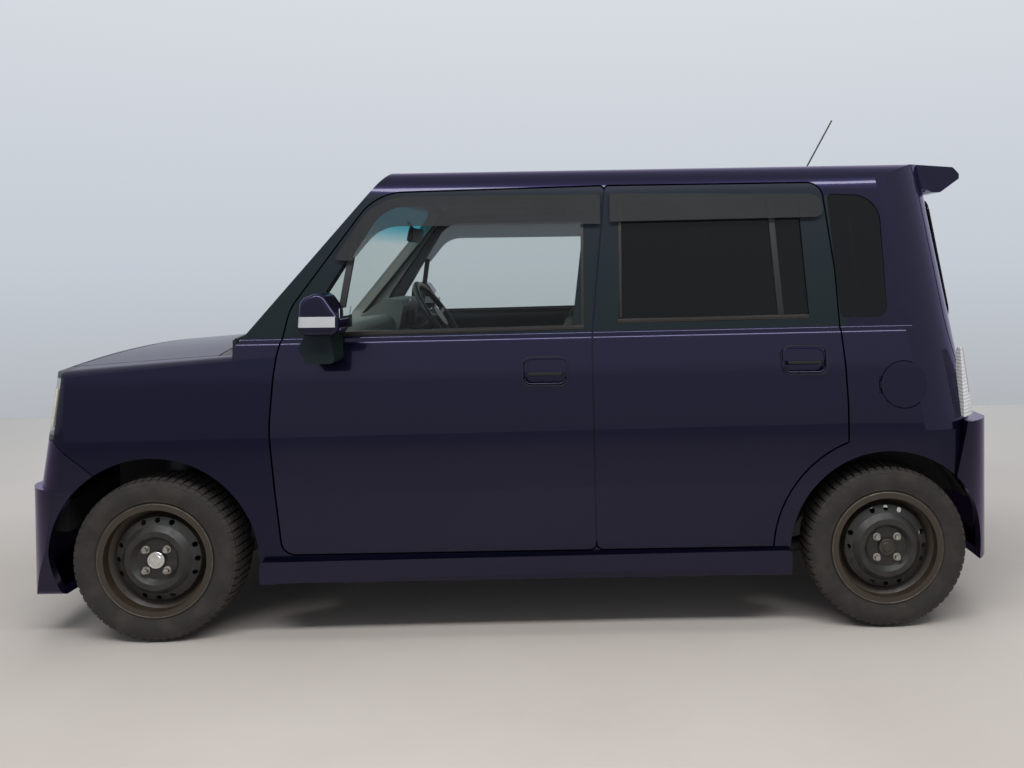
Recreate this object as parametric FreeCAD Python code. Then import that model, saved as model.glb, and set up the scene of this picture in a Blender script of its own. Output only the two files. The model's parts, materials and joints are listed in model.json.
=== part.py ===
import FreeCAD, Part
import math
import os

Vec = FreeCAD.Vector

# Driving dimensions, in millimetres unless the name says degrees.
# +X is forward, +Y is the left side, +Z is up; the wheels stand on Z = 0.
front_overhang = 485.0
wheelbase = 2490.0
rear_overhang = 420.0
body_width = 1475.0
body_height = 1640.0
belt_height = 1040.0
front_track = 1305.0
rear_track = 1295.0

tyre_radius = 278.5
tyre_width = 155.0
corner_unit = 1640.0
rim_radius = 178.0
rim_lip_radius = 195.0
rim_width = 127.0
rim_metal = 6.0
front_arch_radius = 350.0
rear_arch_radius = 340.0

floor_height = 262.0

door_thickness = 88.0
frame_thickness = 48.0
roof_thickness = 34.0
panel_thickness = 30.0
tailgate_thickness = 56.0
glass_thickness = 5.0
glass_setback = 7.0
quarter_setback = 1.5
rocker_flange = 24.0

# Clearances
door_gap = 6.0
lid_gap = 6.0
seam_gap = 3.0
fit_gap = 0.3
glass_gap = 0.3
overrun = 400.0
spindle_gap = 0.05
touch_limit = 0.001

# Stations that follow from the driving dimensions.
length = front_overhang + wheelbase + rear_overhang
half_length = length / 2
half_width = body_width / 2
front_axle_x = half_length - front_overhang
rear_axle_x = front_axle_x - wheelbase
front_wheel_y = front_track / 2
rear_wheel_y = rear_track / 2
sides = (1, -1)


def along(share):
    """Station on the body: 0 is the rear axle, 1 the front axle, -1 and 2 the body's ends."""
    if share > 1:
        return front_axle_x + (share - 1) * front_overhang
    if share < 0:
        return rear_axle_x + share * rear_overhang
    return rear_axle_x + share * wheelbase


def level(share):
    """Height on the body: 0 is the ground, 1 the belt line, 2 the roof."""
    if share > 1:
        return belt_height + (share - 1) * (body_height - belt_height)
    return share * belt_height


def across(share):
    """Distance from the middle plane, as a share of the body's half width."""
    return share * half_width


def bend(share):
    """Corner radius as a share of the unit that all rounded corners follow."""
    return share * corner_unit


def side_corners(shares):
    return [(along(a), level(b), bend(c)) for a, b, c in shares]


def section_corners(shares):
    return [(across(a), level(b), bend(c)) for a, b, c in shares]


def both_halves(corners):
    """Close a half outline over the middle plane."""
    mirrored = [(-a, b, c) for a, b, c in reversed(corners) if abs(a) > touch_limit]
    return list(corners) + mirrored


# Outlines

def rounded_wire(corners, place):
    """Closed wire through corners (a, b, radius), each rounded by a tangent arc."""
    count = len(corners)
    points = [Vec(a, b, 0) for a, b, radius in corners]
    joints = []
    for index, here in enumerate(points):
        radius = corners[index][2]
        back = (points[index - 1] - here).normalize()
        ahead = (points[(index + 1) % count] - here).normalize()
        half_angle = back.getAngle(ahead) / 2
        if radius > touch_limit:
            reach = radius / math.tan(half_angle)
            inward = (back + ahead).normalize()
            middle = here + inward * (radius / math.sin(half_angle) - radius)
            joints.append((here + back * reach, middle, here + ahead * reach))
        else:
            joints.append((here, None, here))
    edges = []
    for index, (start, middle, end) in enumerate(joints):
        if middle is not None:
            edges.append(Part.Arc(place(start), place(middle), place(end)).toShape())
        following = joints[(index + 1) % count][0]
        if end.distanceToPoint(following) > touch_limit:
            edges.append(Part.LineSegment(place(end), place(following)).toShape())
    return Part.Wire(edges)


def grown(wire, grow):
    """Outline moved outward by grow, or inward if negative, whichever way it was drawn."""
    moved = wire.makeOffset2D(grow, 2)
    if (Part.Face(moved).Area > Part.Face(wire).Area) != (grow > 0):
        moved = wire.makeOffset2D(-grow, 2)
    return moved


def prism(corners, place, travel, grow=0.0):
    wire = rounded_wire(corners, place)
    if abs(grow) > touch_limit:
        wire = grown(wire, grow)
    return Part.Face(wire).extrude(travel)


def side_prism(corners, y_low, y_high, grow=0.0):
    """Side-view outline (x, z) carried across the body."""
    return prism(corners, lambda p: Vec(p.x, y_low, p.y), Vec(0, y_high - y_low, 0), grow)


def plan_prism(corners, z_low, z_high, grow=0.0):
    """Plan outline (x, y) carried upward."""
    return prism(corners, lambda p: Vec(p.x, p.y, z_low), Vec(0, 0, z_high - z_low), grow)


def tilted(shape, x, z, lean):
    """Shape turned about a cross line so that its upright edges lean by lean per unit of height."""
    return shape.rotated(Vec(x, 0, z), Vec(0, 1, 0), math.degrees(math.atan(lean)))


def section_prism(corners, x_low, x_high, rise=0.0, x_level=0.0, grow=0.0):
    """Cross-section (y, z) carried along the body, rising by rise towards the front."""
    shape = prism(corners, lambda p: Vec(x_low, p.x, p.y), Vec(x_high - x_low, 0, 0), grow)
    return tilted(shape, x_level, 0, -rise) if rise else shape


def block(x_low, x_high, y_low, y_high, z_low, z_high):
    return Part.makeBox(x_high - x_low, y_high - y_low, z_high - z_low, Vec(x_low, y_low, z_low))


def rod(start, end, radius):
    axis = end - start
    return Part.makeCylinder(radius, axis.Length, start, axis)


def cross_cylinder(x, z, radius, y_low, y_high):
    return Part.makeCylinder(radius, y_high - y_low, Vec(x, y_low, z), Vec(0, 1, 0))


def mirror_y(shape):
    return shape.mirror(Vec(0, 0, 0), Vec(0, 1, 0))


def on_side(shape, side):
    return shape if side > 0 else mirror_y(shape)


def solids(shapes):
    return Part.makeCompound([solid for shape in shapes for solid in shape.Solids])


def biggest(shape):
    return max(shape.Solids, key=lambda solid: solid.Volume)


# The body's outer form and its hollow

upper_section_shares = (
    (1.0, 0.50, 0.0),
    (1.0, 0.66, 0.60),
    (0.982, 0.88, 0.10),
    (0.942, 0.985, 0.012),
    (0.922, 1.0, 0.006),
    (0.836, 1.945, 0.065),
    (0.0, 2.035, 3.55),
)
lower_section_shares = (
    (0.0, 0.17, 0.0),
    (0.93, 0.17, 0.01),
    (0.985, 0.285, 0.12),
    (1.0, 0.50, 0.0),
    (1.0, 0.55, 0.0),
)
section_rise = -0.012
section_level_x = along(0.07)
bow_reach_share = 0.6


def bow_corners(x_end, facing, slope, half, corner, x_back):
    """Plan outline whose end bows to x_end in the middle; slope is the bow's fall per unit of width."""
    reach = bow_reach_share * half
    bow_radius = reach / slope
    apex = x_end + facing * bow_radius * (math.sqrt(1 + slope * slope) - 1)
    x_corner = apex - facing * slope * half
    return [(x_back, -half, 0.0), (x_corner, -half, corner), (apex, 0.0, bow_radius),
            (x_corner, half, corner), (x_back, half, 0.0)]


reach_height = body_height * 3


def bow_volume(x_end, facing, slope, half, corner, lean, z_level, inset=0.0):
    """Everything behind a bowed, leaning end face that stands at x_end at height z_level."""
    corners = bow_corners(x_end, facing, slope, half, corner, x_end - facing * length * 2)
    volume = plan_prism(corners, z_level - reach_height, z_level + reach_height, -inset)
    return tilted(volume, x_end, z_level, lean) if lean else volume


z_sky = body_height + overrun
windscreen_x = along(0.921)
windscreen_lean = -0.85
windscreen_level = level(0.96)
windscreen_bow_radius = 3400.0
header_radius = 300.0
tail_edge_radius = 140.0
tail_edge_level = level(1.72)
tail_edge_lean = 0.24
tail_bow_radius = 7600.0
tail_corner_radius = 240.0
tail_corner_low = level(0.66)
upper_lean_share = 0.14
roof_end_rise_share = 0.03
crown_rise = 8.0
tail_x = along(-0.815)
tail_lean = 0.15
tail_slope = 0.06
tail_level = level(0.95)
tail_corner_drop = tail_slope * half_width / 2
corner_radius = 200.0
wide = half_width + overrun


def turned_volume(profile, axis_x, inset=0.0):
    """Side-view profile (x, z, radius) turned about an upright axis, for ends that bow in plan."""
    wire = rounded_wire(profile, lambda p: Vec(p.x, 0, p.y))
    if abs(inset) > touch_limit:
        wire = grown(wire, -inset)
    return Part.Face(wire).revolve(Vec(axis_x, 0, 0), Vec(0, 0, 1), 360)


def tub_section(inset_side, inset_glass, inset_roof):
    """Cross-section volume of the passenger body, drawn in by the given wall thicknesses."""
    upper = section_corners(upper_section_shares)
    roof_fall = (upper[6][1] - upper[5][1]) / upper[5][0]
    drawn = []
    for index, (y, z, radius) in enumerate(upper):
        if index < 4:
            drawn.append((y - inset_side, z, radius))
        elif index < 5:
            drawn.append((y - inset_glass, z, radius))
        elif y > touch_limit:
            z_in = z + roof_fall * inset_glass - inset_roof
            drawn.append((y - inset_glass, z_in, radius - inset_roof))
        else:
            drawn.append((y, z - inset_roof, radius))
    return section_prism(both_halves(drawn), -length, length, section_rise, section_level_x)


def sill_section(inset_side, inset_floor):
    drawn = []
    for y, z, radius in section_corners(lower_section_shares):
        drawn.append((max(y - inset_side, 0.0), z + inset_floor if z < level(0.3) else z, radius))
    return section_prism(both_halves(drawn), -length, length)


def end_profile(x_end, facing, lean, z_level, radius, axis_x):
    """Profile of a leaning end face that rounds over into the roof."""
    z_low = -overrun
    z_top = body_height + crown_rise
    x_top = x_end + lean * (z_top - z_level)
    rise = facing * roof_end_rise_share * (x_top - axis_x)
    return [(axis_x, z_low, 0.0), (x_end + lean * (z_low - z_level), z_low, 0.0),
            (x_top, z_top, radius), (axis_x, z_top + rise, 0.0)]


def windscreen_volume(inset=0.0):
    axis_x = windscreen_x - windscreen_bow_radius
    profile = end_profile(windscreen_x, 1, windscreen_lean, windscreen_level, header_radius, axis_x)
    return turned_volume(profile, axis_x, inset)


def tail_at(z):
    """Station of the tail face's middle at height z."""
    return tail_x + tail_lean * (z - tail_level)


def roof_tail_volume(inset):
    """Everything ahead of the rounding from the roof into the tail."""
    axis_x = tail_x + tail_bow_radius
    x_edge = tail_at(tail_edge_level)
    profile = end_profile(x_edge, -1, tail_edge_lean, tail_edge_level, tail_edge_radius, axis_x)
    return turned_volume(profile, axis_x, inset)


def corner_cutter(inset):
    """What the left upper tail corner loses: outside a rounding that leans in with the side and the tail."""
    radius = tail_corner_radius - inset
    low = Vec(tail_at(tail_corner_low) + tail_corner_drop, half_width, tail_corner_low)
    middle = (tail_corner_radius, -tail_corner_radius)
    corners = [(-overrun, overrun, 0.0), (middle[0], overrun, 0.0), (middle[0], middle[1], 0.0),
               (-overrun, middle[1], 0.0)]
    square = plan_prism(corners, 0, reach_height)
    column = Part.makeCylinder(radius, reach_height, Vec(middle[0], middle[1], 0))
    cutter = square.cut(column)
    cutter = cutter.rotated(Vec(0, 0, 0), Vec(1, 0, 0), math.degrees(math.atan(upper_lean_share)))
    cutter = cutter.rotated(Vec(0, 0, 0), Vec(0, 1, 0), math.degrees(math.atan(tail_lean)))
    cutter = cutter.translated(low)
    return cutter.common(block(-length * 2, 0, 0, wide * 2, tail_corner_low, reach_height))


def tail_volume(inset=0.0):
    """Everything ahead of the tail face and its upright corners."""
    return bow_volume(tail_x, -1, tail_slope, half_width + seam_gap, tail_corner_radius,
                      tail_lean, tail_level, inset)


def ended(shape, inset):
    """Shape cut to the tail face, the roof's rear rounding and the leaning tail corners."""
    shape = shape.common(tail_volume(inset)).common(roof_tail_volume(inset))
    cutter = corner_cutter(inset)
    return shape.cut(cutter).cut(mirror_y(cutter))


hood_section_shares = (
    (1.02, -0.30, 0.0),
    (1.02, 0.915, 0.055),
    (0.0, 0.967, 4.0),
)
hood_rise = -0.075
nose_x = along(1.955)
nose_lean = -0.16
nose_level = level(0.5)
nose_slope = 0.10
nose_corner_radius = 150.0


def hood_volume(inset=0.0):
    corners = both_halves(section_corners(hood_section_shares))
    return section_prism(corners, -length, length, hood_rise, along(0.9), -inset)


def nose_volume(inset=0.0):
    half = half_width + seam_gap
    return bow_volume(nose_x, 1, nose_slope, half, nose_corner_radius,
                      nose_lean, nose_level, inset)


def body_sides(inset_side, inset_glass, inset_roof, inset_floor):
    upper = tub_section(inset_side, inset_glass, inset_roof)
    lower = sill_section(inset_side, inset_floor)
    return upper.fuse(lower).removeSplitter()


outer_sides = body_sides(0.0, 0.0, 0.0, 0.0)
windscreen_cut = windscreen_volume()
tub_outer = ended(outer_sides.common(windscreen_cut), 0.0)
hood_cut = hood_volume()
nose_outer = outer_sides.common(hood_cut).common(nose_volume())
nose_start_x = along(0.80)
nose_outer = nose_outer.common(block(nose_start_x, length, -wide, wide, 0, z_sky))

header_thickness = 42.0
skin_share = 0.32
firewall_x = along(0.895)
rocker_inner_y = half_width - door_thickness - rocker_flange


def tub_inside(share=1.0):
    """Hollow of the passenger body, its walls taken at a share of their thickness."""
    room = body_sides(door_thickness * share, frame_thickness * share, roof_thickness * share, 0.0)
    room = room.common(windscreen_volume(header_thickness * share))
    return ended(room, tailgate_thickness * share)


cabin_room = tub_inside()
tub_wall = tub_outer.cut(cabin_room)
tub_wall = tub_wall.cut(block(-length, length, -rocker_inner_y, rocker_inner_y, 0, floor_height))
skin_room = tub_inside(skin_share)
nose_inside = outer_sides.common(hood_volume(panel_thickness)).common(nose_volume(panel_thickness))
nose_inside = body_sides(panel_thickness, panel_thickness, 0.0, 0.0).common(nose_inside)
nose_inside = nose_inside.common(block(0, length, -wide, wide, 0, z_sky))

# Doors

front_door_shares = (
    (0.828, 0.281, 0.03),
    (0.843, 0.695, 0.30),
    (0.8355, 0.93, 0.10),
    (0.822, 1.133, 0.10),
    (0.7065, 1.797, 0.115),
    (0.388, 1.833, 0.01),
    (0.407, 0.986, 0.30),
    (0.403, 0.281, 0.015),
)
rear_door_shares = (
    (0.403, 0.281, 0.015),
    (0.407, 0.986, 0.30),
    (0.388, 1.833, 0.01),
    (0.082, 1.845, 0.035),
    (0.066, 1.32, 0.30),
    (0.0565, 0.75, 0.02),
    (0.0565, 0.281, 0.0),
)
front_window_shares = (
    (0.4347, 1.012, 0.004),
    (0.4147, 1.733, 0.015),
    (0.700, 1.72, 0.08),
    (0.795, 1.085, 0.012),
    (0.786, 0.992, 0.006),
)
rear_window_shares = (
    (0.3704, 1.048, 0.004),
    (0.3640, 1.745, 0.010),
    (0.1150, 1.755, 0.010),
    (0.1040, 1.058, 0.006),
)
quarter_window_shares = (
    (0.0600, 1.055, 0.010),
    (0.0740, 1.777, 0.010),
    (0.0000, 1.767, 0.060),
    (-0.0350, 1.055, 0.025),
)
door_step = 16.0
door_relief = 6.0
door_arch_margin = 58.0


def door_outline(shares, y_low, y_high, grow):
    return side_prism(side_corners(shares), y_low, y_high, grow)


def door_region(shares, gap, step, behind_arch):
    """Room of one left door: a wide outline in the skin and a narrower one behind it."""
    wide_part = door_outline(shares, 0, wide, gap).cut(skin_room)
    deep_part = door_outline(shares, 0, wide, gap - step).common(skin_room)
    if behind_arch:
        reach = rear_arch_radius + door_arch_margin
        wide_part = wide_part.cut(cross_cylinder(rear_axle_x, tyre_radius, reach - gap, 0, wide))
        deep_reach = reach - gap + step
        deep_part = deep_part.cut(cross_cylinder(rear_axle_x, tyre_radius, deep_reach, 0, wide))
    return wide_part, deep_part


def door_panel(shares, window_shares, behind_arch):
    """Left door: skin and inner shell in one piece, with its window cut."""
    wide_part, deep_part = door_region(shares, -door_gap / 2, door_step + door_relief, behind_arch)
    panel = tub_wall.common(wide_part).fuse(tub_wall.common(deep_part)).removeSplitter()
    return panel.cut(side_prism(side_corners(window_shares), 0, wide))


def door_opening(shares, behind_arch):
    """Room that the body leaves for one left door, its gap included."""
    wide_part, deep_part = door_region(shares, door_gap / 2, door_step, behind_arch)
    return wide_part.fuse(deep_part)


def side_pane(window_shares, setback):
    outer = body_sides(setback, setback, roof_thickness, 0.0)
    inner = body_sides(setback + glass_thickness, setback + glass_thickness, roof_thickness, 0.0)
    sheet = side_prism(side_corners(window_shares), 0, wide, -glass_gap)
    return sheet.common(outer).cut(inner)


handle_width = 150.0
handle_height = 98.0
handle_bend = 26.0
handle_depth = 16.0
handle_sink = 1.5
handle_metal = 6.0
handle_gap = 3.0
flap_share = 0.55
front_handle_share = 0.471
front_handle_level = level(0.870)
rear_handle_share = 0.116
rear_handle_level = level(0.898)


def with_handle(panel, x, z):
    """Door with a rounded pull recess whose upper part is closed by a flush flap."""
    left, right = x - handle_width / 2, x + handle_width / 2
    low, high = z - handle_height / 2, z + handle_height / 2
    outline = [(left, low, handle_bend), (right, low, handle_bend),
               (right, high, handle_bend), (left, high, handle_bend)]
    pocket = side_prism(outline, across(0.6), wide)
    pocket = pocket.cut(body_sides(handle_depth, handle_depth, 0.0, 0.0))
    edge = high - handle_height * flap_share
    flap = side_prism([(left + handle_gap, edge, handle_gap), (right - handle_gap, edge, handle_gap),
                       (right - handle_gap, high + handle_gap, 0.0), (left + handle_gap, high + handle_gap, 0.0)],
                      across(0.6), wide)
    flap = flap.common(body_sides(handle_sink, handle_sink, 0.0, 0.0))
    flap = flap.cut(body_sides(handle_sink + handle_metal, handle_sink + handle_metal, 0.0, 0.0))
    return panel.cut(pocket.cut(flap))


front_door = door_panel(front_door_shares, front_window_shares, False)
front_door = with_handle(front_door, along(front_handle_share), front_handle_level)
rear_door = door_panel(rear_door_shares, rear_window_shares, True)
rear_door = with_handle(rear_door, along(rear_handle_share), rear_handle_level)
front_pane = side_pane(front_window_shares, glass_setback)
rear_pane = side_pane(rear_window_shares, glass_setback)
quarter_pane = side_pane(quarter_window_shares, quarter_setback)

# Nose: hood, wings, lamps, grille and bumper

cowl_width = 72.0
hood_rear_share = 0.86
hood_front_share = 0.80
hood_front_x = along(1.70)
brow_level = level(0.80)
brow_lean = -0.26
brow_radius = 95.0
brow_bow_radius = 4400.0
brow_rise = 4.0
lamp_depth = 90.0
front_face_shares = (
    (1.625, 1.10, 0.0),
    (1.625, 0.86, 0.0),
    (1.685, 0.660, 0.0),
    (2.60, 0.660, 0.0),
    (2.60, 1.10, 0.0),
)
front_bumper_shares = (
    (1.30, 0.10, 0.0),
    (2.60, 0.10, 0.0),
    (2.60, 0.660, 0.0),
    (1.685, 0.660, 0.0),
    (1.30, 0.515, 0.0),
)
front_chin_shares = (
    (0.50, 0.146, 0.0),
    (1.90, 0.146, 0.02),
    (2.00, 0.185, 0.01),
    (2.00, 0.450, 0.015),
    (1.92, 0.505, 0.0),
    (0.50, 0.505, 0.0),
)
bumper_section_shares = (
    (0.0, 0.146, 0.0),
    (0.93, 0.146, 0.02),
    (0.985, 0.30, 0.10),
    (1.0, 0.50, 0.0),
    (1.0, 0.80, 0.0),
)
headlamp_shares = (
    (0.47, 0.680, 0.035),
    (1.02, 0.680, 0.02),
    (1.02, 0.862, 0.02),
    (0.47, 0.862, 0.035),
)
grille_shares = (
    (-0.43, 0.690, 0.015),
    (0.43, 0.690, 0.015),
    (0.43, 0.845, 0.015),
    (-0.43, 0.845, 0.015),
)
intake_shares = (
    (-0.50, 0.225, 0.02),
    (0.50, 0.225, 0.02),
    (0.50, 0.420, 0.02),
    (-0.50, 0.420, 0.02),
)
fog_shares = (
    (0.60, 0.250, 0.02),
    (0.84, 0.250, 0.02),
    (0.84, 0.405, 0.02),
    (0.60, 0.405, 0.02),
)
bumper_thickness = 26.0
front_chin_slope = 0.09
rear_chin_slope = 0.06
fog_depth = 14.0
bar_count = 4
bar_height = 12.0
bar_depth = 18.0
bar_sink = 6.0


def brow_volume(inset=0.0):
    """Everything behind the rounding from the hood into the nose."""
    x_edge = nose_x + nose_lean * (brow_level - nose_level)
    axis_x = x_edge - brow_bow_radius
    hood_front_z = level(hood_section_shares[2][1]) + hood_rise * (x_edge - along(0.9)) + brow_rise
    x_top = x_edge + brow_lean * (hood_front_z - brow_level)
    rise = -hood_rise * (x_top - axis_x)
    profile = [(axis_x, -overrun, 0.0), (x_edge - brow_lean * (brow_level + overrun), -overrun, 0.0),
               (x_top, hood_front_z, brow_radius), (axis_x, hood_front_z + rise, 0.0)]
    return turned_volume(profile, axis_x, inset)


def foot_volume(inset):
    """Everything behind the hood's rear edge, which bows along the windscreen's foot."""
    axis_x = windscreen_x - windscreen_bow_radius
    return Part.makeCylinder(windscreen_bow_radius + cowl_width - inset, z_sky, Vec(axis_x, 0, 0))


def hood_region(grow):
    """Room of the hood seen in plan, its rear edge bowed along the windscreen's foot."""
    x_back = along(0.80)
    corners = [(x_back, -across(hood_rear_share), 0.0), (hood_front_x, -across(hood_front_share), 0.0),
               (hood_front_x, across(hood_front_share), 0.0), (x_back, across(hood_rear_share), 0.0)]
    region = plan_prism(corners, level(0.70), z_sky, grow)
    return region.cut(foot_volume(grow))


def from_front(shares, grow=0.0):
    """Outline seen from the front, carried back through the nose."""
    return section_prism(section_corners(shares), along(1.3), length, 0.0, 0.0, grow)


def front_bumper_volume(inset):
    chin = bow_volume(half_length, 1, front_chin_slope, half_width, nose_corner_radius, 0.0, 0.0, inset)
    chin = chin.common(side_prism(side_corners(front_chin_shares), -wide, wide, -inset))
    upper = nose_volume(inset)
    sides = section_prism(both_halves(section_corners(bumper_section_shares)), 0, length, 0.0, 0.0, -inset)
    return chin.fuse(upper.common(block(0, length, -wide, wide, level(0.46), z_sky))).common(sides)


def arch(x, radius, y_low, y_high):
    return cross_cylinder(x, tyre_radius, radius, y_low, y_high)


nose_outer = nose_outer.common(brow_volume())
nose_inside = nose_inside.common(brow_volume(panel_thickness))
nose_wall = nose_outer.cut(nose_inside)
front_arches = arch(front_axle_x, front_arch_radius, -wide, wide)
rear_arches = arch(rear_axle_x, rear_arch_radius, -wide, wide)

hood = nose_wall.common(hood_region(-lid_gap / 2))
bumper_region = side_prism(side_corners(front_bumper_shares), -wide, wide)
bumper_region_wide = side_prism(side_corners(front_bumper_shares), -wide, wide, seam_gap)
face_region = side_prism(side_corners(front_face_shares), -wide, wide)
front_bumper = front_bumper_volume(0.0).cut(front_bumper_volume(bumper_thickness))
front_bumper = front_bumper.common(bumper_region).cut(front_arches)
front_bumper = front_bumper.cut(from_front(intake_shares))
fog_pocket = from_front(fog_shares).cut(front_bumper_volume(fog_depth))
front_bumper = front_bumper.cut(fog_pocket).cut(mirror_y(fog_pocket))
front_bumper = biggest(front_bumper)


def wing():
    """Left front wing, from the door's front edge to the lamp, over the wheel."""
    skin = nose_wall.common(block(nose_start_x, length, across(0.78), wide, 0, z_sky))
    skin = skin.cut(hood_region(lid_gap / 2)).cut(bumper_region_wide).cut(face_region)
    skin = skin.cut(front_arches).cut(door_outline(front_door_shares, -wide, wide, door_gap / 2))
    return biggest(skin.cut(cowl_room(0.0)).cut(cabin_room))


def cowl_room(inset):
    """Room between the windscreen's foot and the hood's rear edge."""
    half = across(hood_rear_share) - inset
    return foot_volume(inset).common(block(firewall_x, length, -half, half, level(0.70), z_sky))


front_wing = wing()
screen_low_share = 0.965
screen_foot_low = level(0.93)
screen_foot_half = across(hood_rear_share) - lid_gap / 2
screen_foot = tub_wall.common(block(firewall_x, length, -screen_foot_half, screen_foot_half,
                                    screen_foot_low, level(screen_low_share)))
cowl = biggest(nose_wall.common(cowl_room(lid_gap / 2)).fuse(screen_foot).removeSplitter())


def front_face():
    """Panel round the lamps and the grille, below the hood's front edge."""
    face = nose_wall.common(face_region).cut(hood_region(lid_gap / 2))
    face = face.common(block(0, length, -wide, wide, level(0.663), z_sky))
    lamp = from_front(headlamp_shares)
    face = face.cut(lamp).cut(mirror_y(lamp)).cut(from_front(grille_shares))
    return biggest(face)


def headlamp():
    room = nose_outer.common(face_region).common(from_front(headlamp_shares, -fit_gap))
    back = nose_volume(lamp_depth)
    return biggest(room.cut(back).cut(hood_region(lid_gap / 2)))


def bars(shares, count):
    """Level bars across an opening in the front, flush behind the nose's face."""
    corners = section_corners(shares)
    low, high = corners[0], corners[2]
    pitch = (high[1] - low[1]) / (count + 1)
    slab = nose_volume(bar_sink).cut(nose_volume(bar_sink + bar_depth))
    made = []
    for index in range(count):
        z = low[1] + pitch * (index + 1)
        bar = block(0, length, low[0], high[0], z - bar_height / 2, z + bar_height / 2)
        made.append(slab.common(bar))
    return solids(made)


grille = bars(grille_shares, bar_count)
face_panel = front_face()
left_headlamp = headlamp()


# Tail: gate, lamps and bumper

tailgate_shares = (
    (-0.80, 0.560, 0.02),
    (0.80, 0.560, 0.02),
    (0.83, 1.00, 0.30),
    (0.735, 1.80, 0.04),
    (0.72, 2.40, 0.0),
    (-0.72, 2.40, 0.0),
    (-0.735, 1.80, 0.04),
    (-0.83, 1.00, 0.30),
)
tailgate_window_shares = (
    (-0.70, 1.02, 0.03),
    (0.70, 1.02, 0.03),
    (0.62, 1.76, 0.03),
    (-0.62, 1.76, 0.03),
)
tail_lamp_shares = (
    (0.855, 0.695, 0.01),
    (1.10, 0.695, 0.0),
    (1.10, 0.925, 0.0),
    (0.855, 0.925, 0.01),
)
rear_bumper_shares = (
    (-0.55, 0.10, 0.0),
    (-0.55, 0.50, 0.0),
    (-0.66, 0.685, 0.0),
    (-2.0, 0.685, 0.0),
    (-2.0, 0.10, 0.0),
)
rear_chin_shares = (
    (0.0, 0.215, 0.0),
    (-0.93, 0.215, 0.015),
    (-1.0, 0.26, 0.01),
    (-1.0, 0.50, 0.05),
    (-0.965, 0.60, 0.03),
    (-0.925, 0.655, 0.02),
    (-0.915, 0.685, 0.0),
    (0.0, 0.685, 0.0),
)
tailgate_edge_x = along(-0.35)
rear_panel_share = -0.82
tail_lamp_stand = 8.0
tail_lamp_depth = 60.0
tail_lamp_x = along(-0.655)


def from_rear(shares, grow=0.0):
    """Outline seen from the rear, carried forward to the roof's end."""
    return section_prism(section_corners(shares), -length, tailgate_edge_x, 0.0, 0.0, grow)


def rear_bumper_volume(inset):
    bow = bow_volume(-half_length, -1, rear_chin_slope, half_width, corner_radius, 0.0, 0.0, inset)
    sides = section_prism(both_halves(section_corners(bumper_section_shares)), -length, 0, 0.0, 0.0, -inset)
    profile = side_prism(side_corners(rear_chin_shares), -wide, wide, -inset)
    return bow.common(sides).common(profile)


rear_bumper_region = side_prism(side_corners(rear_bumper_shares), -wide, wide)
rear_bumper_region_wide = side_prism(side_corners(rear_bumper_shares), -wide, wide, seam_gap)
rear_bumper = rear_bumper_volume(0.0).cut(rear_bumper_volume(bumper_thickness))
rear_bumper = biggest(rear_bumper.common(rear_bumper_region).cut(rear_arches))
bracket_sides = (across(0.50), across(0.60))
bracket_levels = (level(0.425), level(0.475))
bracket_x = along(rear_panel_share)
bracket = block(-length, bracket_x, bracket_sides[0], bracket_sides[1], bracket_levels[0], bracket_levels[1])
bracket = bracket.common(rear_bumper_volume(bumper_thickness))
rear_bumper = rear_bumper.fuse([bracket, mirror_y(bracket)]).removeSplitter()

tail_wall = tub_wall.cut(rear_bumper_region_wide)
tailgate = tail_wall.common(from_rear(tailgate_shares, -lid_gap / 2))
tailgate = biggest(tailgate.cut(from_rear(tailgate_window_shares, glass_gap / 2)))


def tail_pane():
    sheet = from_rear(tailgate_window_shares, -glass_gap / 2)
    sheet = sheet.common(tail_volume(glass_setback))
    return biggest(sheet.cut(tail_volume(glass_setback + glass_thickness)))


def tail_lamp():
    room = section_prism(section_corners(tail_lamp_shares), -length, tail_lamp_x, 0.0, 0.0, -fit_gap)
    stand = tail_volume(-tail_lamp_stand)
    lamp = room.common(outer_sides).common(stand)
    return biggest(lamp.cut(tail_volume(tail_lamp_depth)))


tail_glass = tail_pane()
left_tail_lamp = tail_lamp()

# Roof and side frames

roof_half_share = 0.745
roof_front_x = along(0.700)


def roof_region():
    return block(tailgate_edge_x + lid_gap / 2, roof_front_x, -across(roof_half_share),
                 across(roof_half_share), level(1.80), z_sky)


screen_shares = (
    (-0.80, screen_low_share, 0.03),
    (0.80, screen_low_share, 0.03),
    (0.73, 1.80, 0.04),
    (-0.73, 1.80, 0.04),
)


def screen_pane():
    sheet = windscreen_volume(glass_setback).cut(windscreen_volume(glass_setback + glass_thickness))
    room = section_prism(section_corners(screen_shares), along(0.5), length, 0.0, 0.0, -glass_gap)
    return biggest(sheet.common(room))


def side_frames():
    """Pillars, sills, rails and rear quarters, both sides joined over the screen."""
    room = block(-length, firewall_x, -wide, wide, 0, z_sky)
    room = room.fuse(block(firewall_x, length, -wide, wide, pillar_foot_level, z_sky))
    frame = tub_wall.common(room).cut(cowl)
    for side in sides:
        front = on_side(door_opening(front_door_shares, False), side)
        rear = on_side(door_opening(rear_door_shares, True), side)
        quarter = on_side(side_prism(side_corners(quarter_window_shares), 0, wide), side)
        lamp = on_side(section_prism(section_corners(tail_lamp_shares), -length, tail_lamp_x, 0.0, 0.0), side)
        frame = frame.cut(front).cut(rear).cut(quarter).cut(lamp).cut(on_side(front_wing, side))
    frame = frame.cut(roof_region()).cut(rear_arches).cut(front_arches)
    frame = frame.cut(rear_bumper_region_wide)
    frame = frame.cut(from_rear(tailgate_shares, lid_gap / 2))
    screen = section_prism(section_corners(screen_shares), along(0.5), length, 0.0, 0.0)
    return frame.cut(screen)


pillar_foot_level = level(0.945)
roof = biggest(tub_wall.common(roof_region()))
screen_glass = screen_pane()
frames = side_frames()

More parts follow.
